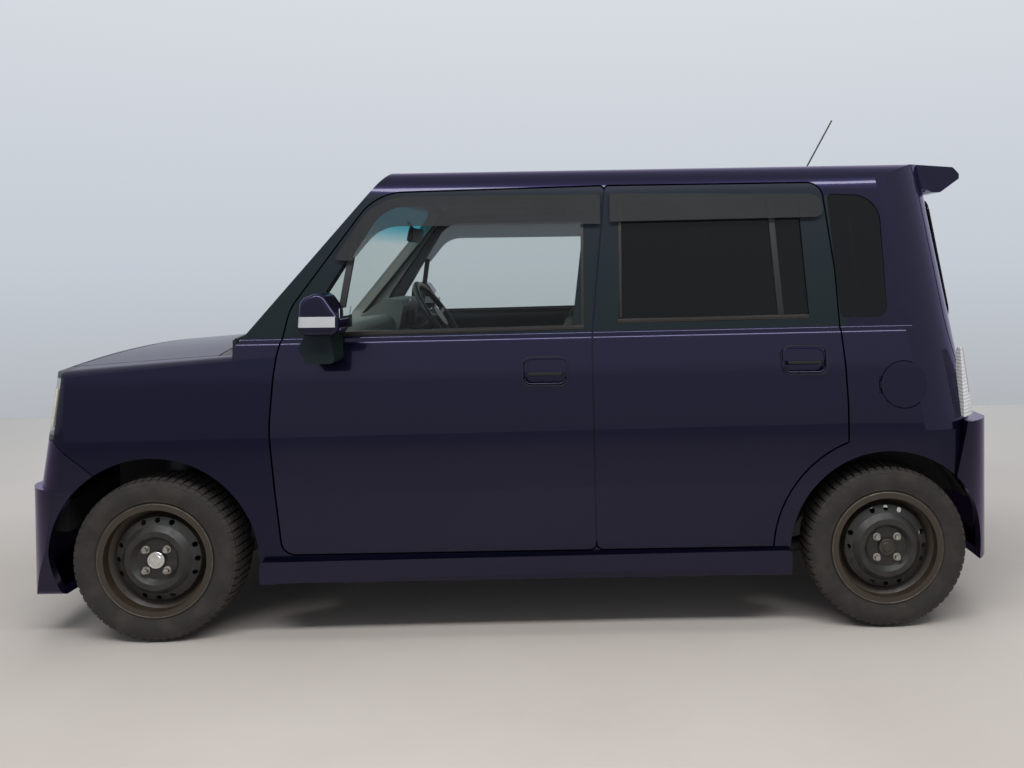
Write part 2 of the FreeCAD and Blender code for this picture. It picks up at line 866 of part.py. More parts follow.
# Fuel lid in the left rear quarter

fuel_lid_x = along(-0.126)
fuel_lid_z = level(0.812)
fuel_lid_radius = 79.0
fuel_lid_thickness = 6.0
fuel_pocket_depth = 52.0
fuel_cap_radius = 32.0
fuel_cap_height = 22.0


def fuel_zone(radius):
    return cross_cylinder(fuel_lid_x, fuel_lid_z, radius, across(0.5), wide)


fuel_skin = outer_sides.cut(body_sides(fuel_lid_thickness, fuel_lid_thickness, 0.0, 0.0))
fuel_lid = biggest(fuel_skin.common(fuel_zone(fuel_lid_radius)))
fuel_pocket = fuel_zone(fuel_lid_radius + seam_gap)
fuel_pocket = fuel_pocket.cut(body_sides(fuel_pocket_depth, fuel_pocket_depth, 0.0, 0.0))
fuel_cap = fuel_zone(fuel_cap_radius).common(outer_sides)
fuel_cap = fuel_cap.common(body_sides(fuel_pocket_depth - fuel_cap_height, frame_thickness, 0.0, 0.0))
fuel_stop_radius = 6.0
fuel_stop_share = 0.82


def fuel_stop():
    """Rubber stop that the closed lid rests on, at the front of the pocket."""
    stop = cross_cylinder(fuel_lid_x - fuel_lid_radius * fuel_stop_share, fuel_lid_z, fuel_stop_radius,
                          across(0.5), wide)
    under = fuel_lid_thickness + fit_gap
    return stop.common(body_sides(under, under, 0.0, 0.0))


fuel_hinge_radius = 4.0
fuel_hinge_length = 24.0
fuel_relief_length_share = 1.2
fuel_notch = 6.5
fuel_notch_half = 30.0
fuel_hinge_x = fuel_lid_x + fuel_lid_radius + seam_gap / 2
fuel_hinge_y = across(0.9825)


def fuel_hinge(radius, half_length_z):
    foot = Vec(fuel_hinge_x, fuel_hinge_y, fuel_lid_z - half_length_z)
    return Part.makeCylinder(radius, half_length_z * 2, foot)


fuel_lid = fuel_lid.fuse(fuel_hinge(fuel_hinge_radius, fuel_hinge_length / 2)).removeSplitter()
frames = frames.cut(fuel_pocket.cut(fuel_cap).cut(fuel_stop()))
frames = frames.cut(fuel_hinge(fuel_hinge_radius + spindle_gap, fuel_hinge_length / 2 + fit_gap))
fuel_relief_half = fuel_hinge_length * fuel_relief_length_share / 2
hinge_relief = fuel_hinge(fuel_hinge_radius * 2, fuel_relief_half)
frames = frames.cut(hinge_relief.cut(fuel_hinge(fuel_hinge_radius * 3, fuel_hinge_length / 2 + fit_gap)))
frames = frames.cut(block(fuel_hinge_x - fuel_hinge_radius, fuel_hinge_x + fuel_notch, fuel_hinge_y, wide,
                          fuel_lid_z - fuel_notch_half, fuel_lid_z + fuel_notch_half))

# Side mirrors and visors

mirror_stand = 12.0
mirror_y_low = half_width + mirror_stand
mirror_reach = 112.0
mirror_shares = (
    (0.732, 1.005, 0.018),
    (0.732, 1.10, 0.020),
    (0.755, 1.243, 0.020),
    (0.782, 1.20, 0.020),
    (0.786, 1.005, 0.018),
)
pedestal_shares = (
    (0.744, 0.910, 0.010),
    (0.750, 1.02, 0.0),
    (0.780, 1.02, 0.0),
    (0.792, 0.960, 0.012),
    (0.782, 0.910, 0.010),
)
pedestal_inner_y = across(0.93)
mirror_fillet = 16.0
visor_stand = 14.0
visor_metal = 3.0
front_visor_shares = (
    (0.3946, 1.608, 0.0),
    (0.3946, 1.780, 0.004),
    (0.7040, 1.775, 0.12),
    (0.7620, 1.410, 0.006),
    (0.7365, 1.405, 0.004),
    (0.6980, 1.600, 0.08),
)
rear_visor_shares = (
    (0.381, 1.620, 0.0),
    (0.381, 1.785, 0.004),
    (0.0817, 1.774, 0.028),
    (0.0817, 1.640, 0.018),
)
visor_band = 14.0


def side_mirror():
    """Left mirror: shell on a pedestal that stands on the door's front corner."""
    shell = side_prism(side_corners(mirror_shares), mirror_y_low, mirror_y_low + mirror_reach)
    rim = [edge for edge in shell.Edges
           if edge.BoundBox.YMin > mirror_y_low + mirror_reach - touch_limit]
    shell = shell.makeFillet(mirror_fillet, rim)
    pedestal = side_prism(side_corners(pedestal_shares), pedestal_inner_y, mirror_y_low + mirror_reach / 2)
    return shell.fuse(pedestal).cut(outer_sides).removeSplitter()


def visor(shares):
    """Left rain visor: a thin sheet off the door frame, its upper band fixed to the frame."""
    room = side_prism(side_corners(shares), across(0.5), wide)
    band = room.cut(room.translated(Vec(0, 0, -visor_band)))
    outer = body_sides(-visor_stand, -visor_stand, -visor_stand, 0.0)
    under = visor_metal - visor_stand
    sheet = room.common(outer).cut(body_sides(under, under, under, 0.0))
    foot = band.common(body_sides(under, under, under, 0.0)).cut(body_sides(-fit_gap, -fit_gap, -fit_gap, 0.0))
    return sheet.fuse(foot).removeSplitter()


door_mirror = side_mirror()
front_visor = visor(front_visor_shares)
rear_visor = visor(rear_visor_shares)

wiper_pivot_x = windscreen_x + cowl_width * 0.55
wiper_pivot_low = level(0.90)
wiper_stand = 15.0
wiper_pivot_radius = 11.0
wiper_arm_radius = 6.0
wiper_blade_radius = 5.0
wiper_pivot_high = level(0.965)
wiper_blade_z = level(1.005)
wiper_places_share = ((0.72, 0.05, 0.62), (-0.08, -0.72, -0.12))


def glass_bow(y):
    """How far the windscreen falls back at y from the middle plane."""
    return windscreen_bow_radius - math.sqrt(windscreen_bow_radius ** 2 - y * y)


def glass_point(y, z, stand):
    """Point that stands off the windscreen's outer face."""
    return Vec(windscreen_x + windscreen_lean * (z - windscreen_level) - glass_bow(y) + stand, y, z)


def wipers():
    """Two parked wipers: pivot, arm and blade along the foot of the windscreen."""
    made = []
    for pivot_share, tip_share, heel_share in wiper_places_share:
        y = across(pivot_share)
        top = Vec(wiper_pivot_x - glass_bow(y), y, wiper_pivot_high)
        pivot = rod(Vec(top.x, y, wiper_pivot_low), top, wiper_pivot_radius).cut(cowl)
        heel = glass_point(across(heel_share), wiper_blade_z, wiper_stand)
        tip = glass_point(across(tip_share), wiper_blade_z, wiper_stand)
        knee = (heel + tip) / 2
        arm = rod(top, knee, wiper_arm_radius)
        made.append(biggest(pivot.fuse([arm, rod(heel, tip, wiper_blade_radius)]).removeSplitter()))
    return made


# Wheels

tyre_shares = (
    (-0.40, 0.0),
    (-0.405, 0.16),
    (-0.50, 0.52),
    (-0.43, 0.88),
    (-0.30, 1.0),
    (0.30, 1.0),
    (0.43, 0.88),
    (0.50, 0.52),
    (0.405, 0.16),
    (0.40, 0.0),
)
tyre_bend = 16.0
disc_shares = (
    (0.17, 0.345),
    (0.38, 0.345),
    (0.46, 0.450),
    (0.56, 0.450),
    (0.66, 0.340),
    (0.80, 0.270),
    (0.86, 0.120),
)
rim_hole_radius = 9.0
rim_hole_circle = 132.0
rim_hole_groups = 4
rim_hole_spread_degrees = 21.0
spindle_radius = 18.0
brake_disc_radius = 118.0
brake_disc_thickness = 10.0
hub_radius = 68.0
spindle_end_y = -88.0


def spin(corners, axis_origin=Vec(0, 0, 0)):
    """Closed (y, radius, bend) outline turned about the wheel's axle."""
    wire = rounded_wire(corners, lambda p: Vec(0, p.x, p.y))
    return Part.Face(wire).revolve(axis_origin, Vec(0, 1, 0), 360)


def tyre():
    wall = tyre_radius - rim_radius
    corners = []
    for y_share, r_share in tyre_shares:
        corner_bend = tyre_bend if 0 < r_share else 0.0
        corners.append((y_share * tyre_width, rim_radius + fit_gap + r_share * (wall - fit_gap), corner_bend))
    return spin(corners)


def rim():
    """Steel wheel: barrel with its lips and well, dished disc with round holes, hub and brake disc."""
    half = rim_width / 2
    outer = [(-half - rim_metal, rim_lip_radius, 0), (-half, rim_lip_radius, 0), (-half, rim_radius, 0),
             (-half * 0.6, rim_radius, 0), (-half * 0.4, rim_radius * 0.88, 0),
             (half * 0.2, rim_radius * 0.88, 0), (half * 0.5, rim_radius, 0), (half, rim_radius, 0),
             (half, rim_lip_radius, 0), (half + rim_metal, rim_lip_radius, 0)]
    inner = [(half + rim_metal, rim_radius - rim_metal, 0), (half * 0.5 + rim_metal, rim_radius - rim_metal, 0),
             (half * 0.2 + rim_metal, rim_radius * 0.88 - rim_metal, 0),
             (-half * 0.4 - rim_metal, rim_radius * 0.88 - rim_metal, 0),
             (-half * 0.6 - rim_metal, rim_radius - rim_metal, 0), (-half - rim_metal, rim_radius - rim_metal, 0)]
    barrel = spin(outer + inner)
    face = [(y * tyre_width, r * rim_radius, 0) for r, y in disc_shares]
    back = [(y - rim_metal, r, 0) for y, r, flat in reversed(face)]
    disc = spin(face + back)
    for group in range(rim_hole_groups):
        for step in (-1, 0, 1):
            turn = math.radians(group * 360 / rim_hole_groups + step * rim_hole_spread_degrees)
            x = rim_hole_circle * math.cos(turn)
            z = rim_hole_circle * math.sin(turn)
            disc = disc.cut(cross_cylinder(x, z, rim_hole_radius, -rim_width, rim_width))
    seat = disc_shares[0][1] * tyre_width - rim_metal
    hub = cross_cylinder(0, 0, hub_radius, 0, seat)
    plate = cross_cylinder(0, 0, brake_disc_radius, -brake_disc_thickness, 0)
    nose = cross_cylinder(0, 0, disc_shares[0][0] * rim_radius, 0, seat + rim_metal * 2)
    spindle = cross_cylinder(0, 0, spindle_radius, spindle_end_y, 0)
    return barrel.fuse([disc, hub, plate, nose, spindle]).removeSplitter()


left_tyre = tyre()
left_rim = rim()


def placed_wheel(shape, x, y, side):
    return on_side(shape.translated(Vec(x, y, tyre_radius)), side)


# Steering knuckles and the struts on them

king_low = Vec(front_axle_x, 585.0, 190.0)
king_top = Vec(front_axle_x, 480.0, 830.0)
king_axis = (king_top - king_low).normalize()
strut_radius = 23.0
spring_radius = 56.0
carrier_radius = 42.0
carrier_gap = 8.0
ball_radius = 20.0
strut_length = 560.0
spring_length = 210.0
tower_radius = 76.0
tower_thickness = 12.0


def on_king(distance):
    return king_low + king_axis * distance


def knuckle():
    """Left knuckle: bearing carrier, ball boss and the strut, all about the steering axis."""
    y_low = front_wheel_y + spindle_end_y
    y_high = front_wheel_y - brake_disc_thickness - carrier_gap
    carrier = cross_cylinder(front_axle_x, tyre_radius, carrier_radius, y_low, y_high)
    leg = rod(on_king(fit_gap), on_king(strut_length * 0.25), ball_radius)
    strut = rod(on_king(strut_length * 0.12), on_king(strut_length), strut_radius)
    spring = rod(on_king(strut_length - spring_length), on_king(strut_length), spring_radius)
    body = carrier.fuse([leg, strut, spring]).removeSplitter()
    bore = cross_cylinder(front_axle_x, tyre_radius, spindle_radius + spindle_gap, -wide, wide)
    return body.cut(bore)


left_knuckle = knuckle()

# Floor, firewall, wheelhouses and front frame

apron_outer_y = 408.0
apron_thickness = 10.0
rear_house_y = 540.0
house_wall = 8.0
pan_shares = (
    (0.905, 0.880, 0.0),
    (0.895, 0.880, 0.0),
    (0.890, 0.420, 0.0),
    (0.820, 0.252, 0.0),
    (0.140, 0.252, 0.0),
    (0.090, 0.430, 0.0),
    (-0.78, 0.430, 0.0),
    (-0.78, 0.545, 0.0),
    (rear_panel_share, 0.545, 0.0),
    (rear_panel_share, 0.410, 0.0),
    (0.080, 0.410, 0.0),
    (0.130, 0.230, 0.0),
    (0.825, 0.230, 0.0),
    (0.900, 0.410, 0.0),
)
firewall_top_shares = (
    (0.905, 0.875, 0.0),
    (0.905, 0.935, 0.0),
    (0.896, 0.935, 0.0),
    (0.896, 0.875, 0.0),
)
firewall_top_half = across(0.79)
beam_front_shares = (
    (1.70, 0.340, 0.0),
    (2.20, 0.340, 0.0),
    (2.20, 0.440, 0.0),
    (1.70, 0.440, 0.0),
)
rail_low = 330.0
rail_high = 430.0
rail_y = 360.0
rail_width = 50.0
rail_back_x = along(0.897)
rail_front_x = along(1.75)
apron_front_x = along(1.60)
apron_high = level(0.80)
cap_low = level(0.705)
cap_high = level(0.740)
cap_spare_share = 1.2
buffer_x = along(1.42)
buffer_radius = 9.0


def floor_shell():
    pan = side_prism(side_corners(pan_shares), -rocker_inner_y, rocker_inner_y)
    pan = pan.fuse(side_prism(side_corners(firewall_top_shares), -firewall_top_half, firewall_top_half))
    pan = pan.common(tail_volume())
    for side in sides:
        house = arch(rear_axle_x, rear_arch_radius, rear_house_y, rocker_inner_y)
        wall_room = arch(rear_axle_x, rear_arch_radius + house_wall, rear_house_y - house_wall, rocker_inner_y)
        wall_room = wall_room.common(block(-length, length, 0, wide, level(0.42), z_sky))
        pan = pan.fuse(on_side(wall_room, side)).cut(on_side(house, side))
        front_house = arch(front_axle_x, front_arch_radius, apron_outer_y, wide)
        pan = pan.cut(on_side(front_house, side))
    return pan.removeSplitter()


def front_frame():
    """Rails, aprons, strut towers, lamp beam and bumper beam ahead of the firewall."""
    inner = front_bumper_volume(bumper_thickness)
    parts = []
    for side in sides:
        rail = block(rail_back_x, rail_front_x, rail_y - rail_width, rail_y, rail_low, rail_high)
        apron = block(rail_back_x, apron_front_x, apron_outer_y - apron_thickness, apron_outer_y, rail_low, apron_high)
        link = block(rail_back_x, apron_front_x, rail_y, apron_outer_y, rail_low, rail_high)
        tower = rod(on_king(strut_length + fit_gap), on_king(strut_length + fit_gap + tower_thickness), tower_radius)
        cap = block(front_axle_x - tower_radius, front_axle_x + tower_radius, apron_outer_y - apron_thickness,
                    king_top.y, cap_low, cap_high)
        cap = cap.cut(rod(on_king(0), on_king(strut_length + fit_gap), tower_radius * cap_spare_share))
        foot = Vec(buffer_x, apron_outer_y - buffer_radius, apron_high - buffer_radius)
        buffer = rod(foot, foot + Vec(0, 0, overrun), buffer_radius)
        buffer = buffer.common(hood_volume(panel_thickness + fit_gap))
        for piece in (rail, apron, link, tower, cap, buffer):
            parts.append(on_side(piece, side))
    beam = side_prism(side_corners(beam_front_shares), -across(0.85), across(0.85)).common(inner)
    parts.append(beam)
    return parts[0].fuse(parts[1:]).cut(floor).removeSplitter()


floor = floor_shell().cut(cowl)
frame_front = front_frame()

# Power unit, running gear and exhaust

engine_x = along(0.955)
engine_length = 400.0
engine_half_width = across(0.38)
engine_low = level(0.231)
engine_high = level(0.731)
subframe_low = 172.0
subframe_high = 240.0
subframe_half = 330.0
subframe_back = 170.0
subframe_front = 30.0
post_length = 70.0
post_width = 50.0
arm_thickness = 14.0
arm_root_y = 320.0
arm_ahead = 20.0
arm_tip_reach = 26.0
beam_behind = 150.0
beam_half = 480.0
beam_radius = 34.0
beam_z = 262.0
trail_reach = 330.0
trail_radius = 26.0
trail_y = 470.0
trail_z = 200.0
trail_end_y = 500.0
bush_half = 40.0
coil_ahead = 60.0
coil_radius = 52.0
coil_y = 430.0
coil_sink = 10.0
coil_top = level(0.410)
web_y = 490.0
stub_radius = 34.0
sleeve_wall = 22.0
pipe_radius = 22.0
silencer_radius = 80.0
silencer_y = -430.0
silencer_z = 250.0
silencer_ahead = 60.0
silencer_length = 270.0
tail_pipe_radius = 18.0
tail_pipe_y = -470.0
tail_pipe_z = 230.0
tail_pipe_x = along(-0.76)
engine_end_x = engine_x + engine_length
pipe_route = (
    Vec(engine_x, -120.0, 300.0),
    Vec(along(0.915), -160.0, 262.0),
    Vec(along(0.866), -380.0, 200.0),
    Vec(rear_axle_x - silencer_ahead, -380.0, 200.0),
)
tank_sides = (-330.0, 420.0)


def engine():
    return block(engine_x, engine_end_x, -engine_half_width, engine_half_width, engine_low, engine_high)


def front_subframe():
    """Cross member with the two lower arms out to the ball joints."""
    back = front_axle_x - subframe_back
    member = block(back, front_axle_x - subframe_front, -subframe_half, subframe_half, subframe_low, subframe_high)
    post = block(back, back + post_length, rail_y - post_width, rail_y, subframe_high - arm_thickness, rail_low)
    tip_y = king_low.y + arm_tip_reach
    corners = [(back, arm_root_y, 0.0), (king_low.x - arm_tip_reach, tip_y, ball_radius),
               (king_low.x + arm_tip_reach, tip_y, ball_radius), (front_axle_x + arm_ahead, arm_root_y, 0.0)]
    plate = plan_prism(corners, subframe_low, subframe_low + arm_thickness)
    boss = rod(king_low - king_axis * (king_low.z - subframe_low), king_low, ball_radius)
    parts = [on_side(piece, side) for piece in (post, plate, boss) for side in sides]
    return member.fuse(parts).removeSplitter()


def rear_axle():
    """Torsion beam, trailing arms, stub axles and springs."""
    beam_x = rear_axle_x + beam_behind
    beam = rod(Vec(beam_x, -beam_half, beam_z), Vec(beam_x, beam_half, beam_z), beam_radius)
    bush_x = rear_axle_x + trail_reach
    coil_x = rear_axle_x + coil_ahead
    sleeve_low = rear_wheel_y + spindle_end_y
    arm = rod(Vec(bush_x, trail_y, trail_z), Vec(rear_axle_x, trail_end_y, tyre_radius), trail_radius)
    bush = rod(Vec(bush_x, trail_y - bush_half, trail_z), Vec(bush_x, trail_y + bush_half, trail_z), beam_radius)
    stub = cross_cylinder(rear_axle_x, tyre_radius, stub_radius, trail_y, sleeve_low)
    coil = rod(Vec(coil_x, coil_y, tyre_radius - coil_sink), Vec(coil_x, coil_y, coil_top), coil_radius)
    web = rod(Vec(coil_x, coil_y, tyre_radius), Vec(coil_x, web_y, tyre_radius), trail_radius)
    sleeve = cross_cylinder(rear_axle_x, tyre_radius, spindle_radius + sleeve_wall, sleeve_low,
                            rear_wheel_y - brake_disc_thickness - carrier_gap)
    bore = cross_cylinder(rear_axle_x, tyre_radius, spindle_radius + spindle_gap, sleeve_low, wide)
    sleeve = sleeve.cut(bore)
    parts = [on_side(piece, side) for piece in (arm, bush, stub, coil, web, sleeve) for side in sides]
    return beam.fuse(parts).removeSplitter()


def exhaust():
    """Pipe from the engine under the floor to the silencer and its tail pipe."""
    parts = [rod(start, end, pipe_radius) for start, end in zip(pipe_route, pipe_route[1:])]
    parts += [Part.makeSphere(pipe_radius, point) for point in pipe_route[1:-1]]
    front_x = pipe_route[-1].x
    back_x = front_x - silencer_length
    parts.append(rod(Vec(front_x, silencer_y, silencer_z), Vec(back_x, silencer_y, silencer_z), silencer_radius))
    parts.append(rod(Vec(back_x, tail_pipe_y, tail_pipe_z), Vec(tail_pipe_x, tail_pipe_y, tail_pipe_z),
                     tail_pipe_radius))
    return parts[0].fuse(parts[1:]).cut(engine()).removeSplitter()


def fuel_tank():
    return block(along(0.20), along(0.42), tank_sides[0], tank_sides[1], level(0.160), level(0.230))


# Cabin

dash_shares = (
    (0.893, 0.60, 0.0),
    (0.80, 0.58, 0.03),
    (0.755, 0.86, 0.03),
    (0.765, 1.020, 0.025),
    (0.893, 0.985, 0.0),
)
binnacle_shares = (
    (0.80, 0.94, 0.0),
    (0.755, 0.94, 0.010),
    (0.745, 1.120, 0.020),
    (0.780, 1.130, 0.020),
    (0.830, 0.99, 0.0),
)
binnacle_half_width = 165.0
driver_y = -340.0
column_low = Vec(along(0.86), driver_y, level(0.72))
wheel_centre = Vec(along(0.695), driver_y, level(0.985))
column_axis = (wheel_centre - column_low).normalize()
hand_wheel_radius = 182.0
hand_rim_radius = 14.0
hub_depth = 40.0
hub_rise = 10.0
hub_disc_radius = 52.0
spoke_radius = 11.0
spoke_turns_degrees = (80.0, 183.0, 280.0)
column_radius = 30.0
front_seat_sides = (25.0, 590.0)
rear_seat_half = 525.0
front_seat_shares = (
    (0.66, 0.2523, 0.05),
    (0.66, 0.50, 0.05),
    (0.50, 0.475, 0.03),
    (0.455, 1.03, 0.02),
    (0.415, 1.05, 0.02),
    (0.44, 0.2523, 0.05),
)
rear_seat_shares = (
    (0.30, 0.2523, 0.03),
    (0.30, 0.52, 0.04),
    (0.145, 0.50, 0.03),
    (0.085, 1.02, 0.02),
    (0.045, 1.02, 0.02),
    (0.080, 0.4304, 0.0),
    (0.0905, 0.4304, 0.0),
    (0.1405, 0.2523, 0.0),
)


def dashboard():
    room = side_prism(side_corners(dash_shares), -across(0.80), across(0.80))
    hood_over_dials = side_prism(side_corners(binnacle_shares), driver_y - binnacle_half_width,
                                 driver_y + binnacle_half_width)
    return room.fuse(hood_over_dials).common(cabin_room).cut(floor).removeSplitter()


def hand_wheel():
    """Steering wheel with a hub and three spokes, made flat and then set on its column."""
    ring = Part.makeTorus(hand_wheel_radius, hand_rim_radius)
    parts = [rod(Vec(0, 0, -hub_depth), Vec(0, 0, hub_rise), hub_disc_radius)]
    for turn in spoke_turns_degrees:
        reach = hand_wheel_radius - hand_rim_radius / 2
        way = Vec(math.cos(math.radians(turn)), math.sin(math.radians(turn)), 0)
        parts.append(rod(Vec(0, 0, -hub_rise), way * reach, spoke_radius))
    flat = ring.fuse(parts).removeSplitter()
    side_way = Vec(0, 1, 0)
    turned = FreeCAD.Rotation(side_way.cross(column_axis), side_way, column_axis, "ZXY")
    flat.Placement = FreeCAD.Placement(wheel_centre, turned)
    return flat


def column():
    end = wheel_centre - column_axis * (hub_depth + fit_gap)
    return rod(column_low, end, column_radius).cut(dash)


def seat(shares, y_low, y_high):
    return side_prism(side_corners(shares), y_low, y_high)


dash = dashboard()
hand = hand_wheel()
steering_column = column()
left_seat = seat(front_seat_shares, front_seat_sides[0], front_seat_sides[1])
front_seats = solids([left_seat, mirror_y(left_seat)])
rear_seat = seat(rear_seat_shares, -rear_seat_half, rear_seat_half)

# Outer fittings

antenna_foot = Vec(along(0.07), 300.0, level(1.93))
antenna_foot_radius = 22.0
antenna_foot_rise = 36.0
antenna_lean = Vec(-105.0, 0.0, 185.0)
antenna_radius = 3.0


def antenna():
    """Short raked mast on a round foot, at the left rear of the roof."""
    top = antenna_foot + Vec(0, 0, antenna_foot_rise)
    foot = rod(antenna_foot, top, antenna_foot_radius)
    mast = rod(top - Vec(0, 0, antenna_radius * 2), top + antenna_lean, antenna_radius)
    return biggest(foot.fuse(mast).cut(roof))


spoiler_shares = (
    (-0.370, 1.870, 0.0),
    (-0.370, 1.975, 0.004),
    (-0.780, 1.955, 0.006),
    (-0.835, 1.915, 0.004),
    (-0.835, 1.885, 0.004),
    (-0.667, 1.800, 0.006),
    (-0.600, 1.800, 0.0),
)


def spoiler():
    wing_part = side_prism(side_corners(spoiler_shares), -across(0.66), across(0.66))
    return biggest(wing_part.cut(tub_outer))


mast = antenna()
rear_spoiler = spoiler()
skirt_shares = (
    (0.858, 0.190, 0.0),
    (0.858, 0.262, 0.008),
    (0.135, 0.272, 0.008),
    (0.135, 0.208, 0.0),
    (0.32, 0.216, 0.0),
    (0.70, 0.203, 0.0),
)


def skirt():
    room = side_prism(side_corners(skirt_shares), across(0.80), half_width)
    return room.cut(outer_sides)


left_skirt = skirt()
nodes = {
    "side_frames": frames,
    "roof": roof,
    "front_wings": solids([front_wing, mirror_y(front_wing)]),
    "front_bumper": front_bumper,
    "rear_bumper": rear_bumper,
    "side_skirts": solids([left_skirt, mirror_y(left_skirt)]),
    "floor": floor,
    "front_frame": frame_front,
    "face_panel": face_panel,
    "cowl": cowl,
    "grille": grille,
    "wipers": solids(wipers()),
    "windscreen": screen_glass,
    "quarter_glasses": solids([quarter_pane, mirror_y(quarter_pane)]),
    "headlamps": solids([left_headlamp, mirror_y(left_headlamp)]),
    "tail_lamps": solids([left_tail_lamp, mirror_y(left_tail_lamp)]),
    "antenna": mast,
    "dashboard": dash,
    "steering_column": steering_column,
    "front_seats": front_seats,
    "rear_seat": rear_seat,
    "engine": engine(),
    "front_subframe": front_subframe(),
    "rear_axle": rear_axle(),
    "exhaust": exhaust(),
    "fuel_tank": fuel_tank(),
    "hood": hood,
    "tailgate": tailgate,
    "tailgate_glass": tail_glass,
    "rear_spoiler": rear_spoiler,
    "fuel_lid": fuel_lid,
    "steering_wheel": hand,
}
for side, word in zip(sides, ("left", "right")):
    nodes["front_door_" + word] = on_side(front_door, side)
    nodes["rear_door_" + word] = on_side(rear_door, side)
    nodes["front_door_glass_" + word] = on_side(front_pane, side)
    nodes["rear_door_glass_" + word] = on_side(rear_pane, side)
    nodes["mirror_" + word] = on_side(door_mirror, side)
    nodes["visor_front_" + word] = on_side(front_visor, side)
    nodes["visor_rear_" + word] = on_side(rear_visor, side)
    nodes["knuckle_" + word] = on_side(left_knuckle, side)
    for place, x, y in (("front", front_axle_x, front_wheel_y), ("rear", rear_axle_x, rear_wheel_y)):
        nodes["tyre_" + place + "_" + word] = placed_wheel(left_tyre, x, y, side)
        nodes["wheel_" + place + "_" + word] = placed_wheel(left_rim, x, y, side)

os.makedirs("parts", exist_ok=True)
for name, shape in nodes.items():
    shape.exportStep("parts/" + name + ".step")
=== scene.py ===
import bpy
import bmesh
import json
import math
from mathutils import Matrix, Vector


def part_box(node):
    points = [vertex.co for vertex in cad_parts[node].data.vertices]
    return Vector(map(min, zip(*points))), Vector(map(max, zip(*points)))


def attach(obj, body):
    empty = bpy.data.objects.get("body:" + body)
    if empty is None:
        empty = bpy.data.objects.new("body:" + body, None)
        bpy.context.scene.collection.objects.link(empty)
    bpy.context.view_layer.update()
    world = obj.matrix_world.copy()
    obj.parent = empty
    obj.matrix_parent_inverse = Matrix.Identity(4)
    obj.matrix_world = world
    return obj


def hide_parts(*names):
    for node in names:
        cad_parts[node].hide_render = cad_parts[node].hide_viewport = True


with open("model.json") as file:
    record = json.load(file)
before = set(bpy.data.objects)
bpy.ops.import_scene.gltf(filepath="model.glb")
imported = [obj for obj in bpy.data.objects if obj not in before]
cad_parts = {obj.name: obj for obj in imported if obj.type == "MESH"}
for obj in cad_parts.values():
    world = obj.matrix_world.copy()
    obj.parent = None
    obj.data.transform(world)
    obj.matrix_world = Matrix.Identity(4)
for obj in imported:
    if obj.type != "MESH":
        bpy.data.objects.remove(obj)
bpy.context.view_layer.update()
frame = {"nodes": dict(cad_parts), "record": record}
nodes = frame["nodes"]
scene = bpy.context.scene
sides = (("left", 1), ("right", -1))
ends = ("front", "rear")
ahead_axis, side_axis, up_axis = (1, 0, 0), (0, 1, 0), (0, 0, 1)


# Material nodes

noise_roughness = 0.55
fine_bump_scale = 900.0
bump_depth = 0.001
black, white = (0, 0, 0), (1, 1, 1)


def new_material(name):
    """A material with its tree and its shader."""
    material = bpy.data.materials.new(name)
    material.use_nodes = True
    tree = material.node_tree
    return material, tree, tree.nodes["Principled BSDF"]


def feed(tree, socket, value):
    """Set a socket to a number or a colour, or link another socket to it."""
    if isinstance(value, (int, float)):
        socket.default_value = value
    elif isinstance(value, tuple):
        socket.default_value = (*value, 1.0)
    else:
        tree.links.new(value, socket)


def maths(tree, operation, first, second=0.0):
    node = tree.nodes.new("ShaderNodeMath")
    node.operation = operation
    feed(tree, node.inputs[0], first)
    feed(tree, node.inputs[1], second)
    return node.outputs[0]


def times(tree, first, second):
    return maths(tree, "MULTIPLY", first, second)


def above(tree, value, limit):
    return maths(tree, "GREATER_THAN", value, limit)


def below(tree, value, limit):
    return maths(tree, "LESS_THAN", value, limit)


def mix(tree, factor, first, second):
    node = tree.nodes.new("ShaderNodeMix")
    node.data_type = "RGBA"
    for place, value in ((0, factor), (6, first), (7, second)):
        feed(tree, node.inputs[place], value)
    return node.outputs[2]


def noise(tree, scale, detail=4.0):
    """Noise over the object coordinates."""
    source = tree.nodes.new("ShaderNodeTexCoord")
    node = tree.nodes.new("ShaderNodeTexNoise")
    node.inputs["Scale"].default_value = scale
    node.inputs["Detail"].default_value = detail
    node.inputs["Roughness"].default_value = noise_roughness
    tree.links.new(source.outputs["Object"], node.inputs["Vector"])
    return node.outputs["Fac"]


def ramp(tree, value, stops):
    node = tree.nodes.new("ShaderNodeValToRGB")
    element = node.color_ramp.elements
    while len(element) < len(stops):
        element.new(0.5)
    for item, (position, colour) in zip(element, stops):
        item.position = position
        item.color = (*colour, 1.0)
    tree.links.new(value, node.inputs["Fac"])
    return node.outputs["Color"]


def bump(tree, shader, height, strength):
    node = tree.nodes.new("ShaderNodeBump")
    node.inputs["Strength"].default_value = strength
    node.inputs["Distance"].default_value = bump_depth
    tree.links.new(height, node.inputs["Height"])
    tree.links.new(node.outputs["Normal"], shader.inputs["Normal"])


def split(tree, output):
    """The three parts of a texture coordinate."""
    source = tree.nodes.new("ShaderNodeTexCoord")
    node = tree.nodes.new("ShaderNodeSeparateXYZ")
    tree.links.new(source.outputs[output], node.inputs[0])
    return node.outputs


# Masks: each is 1 where its finish lies

belt_fall, belt_height = 0.012, 1.031
screen_pillar_rear, screen_pillar_top = 0.44, 1.515
strip_rear, strip_front, strip_top = -1.15, -1.06, 1.50
pedestal_top = 1.042
signal_low, signal_high, signal_rear = 1.070, 1.104, 0.556


def over_belt(tree):
    """Above the belt line, which falls gently towards the front."""
    place = split(tree, "Object")
    line = maths(tree, "ADD", place[2], times(tree, place[0], belt_fall))
    return above(tree, line, belt_height)


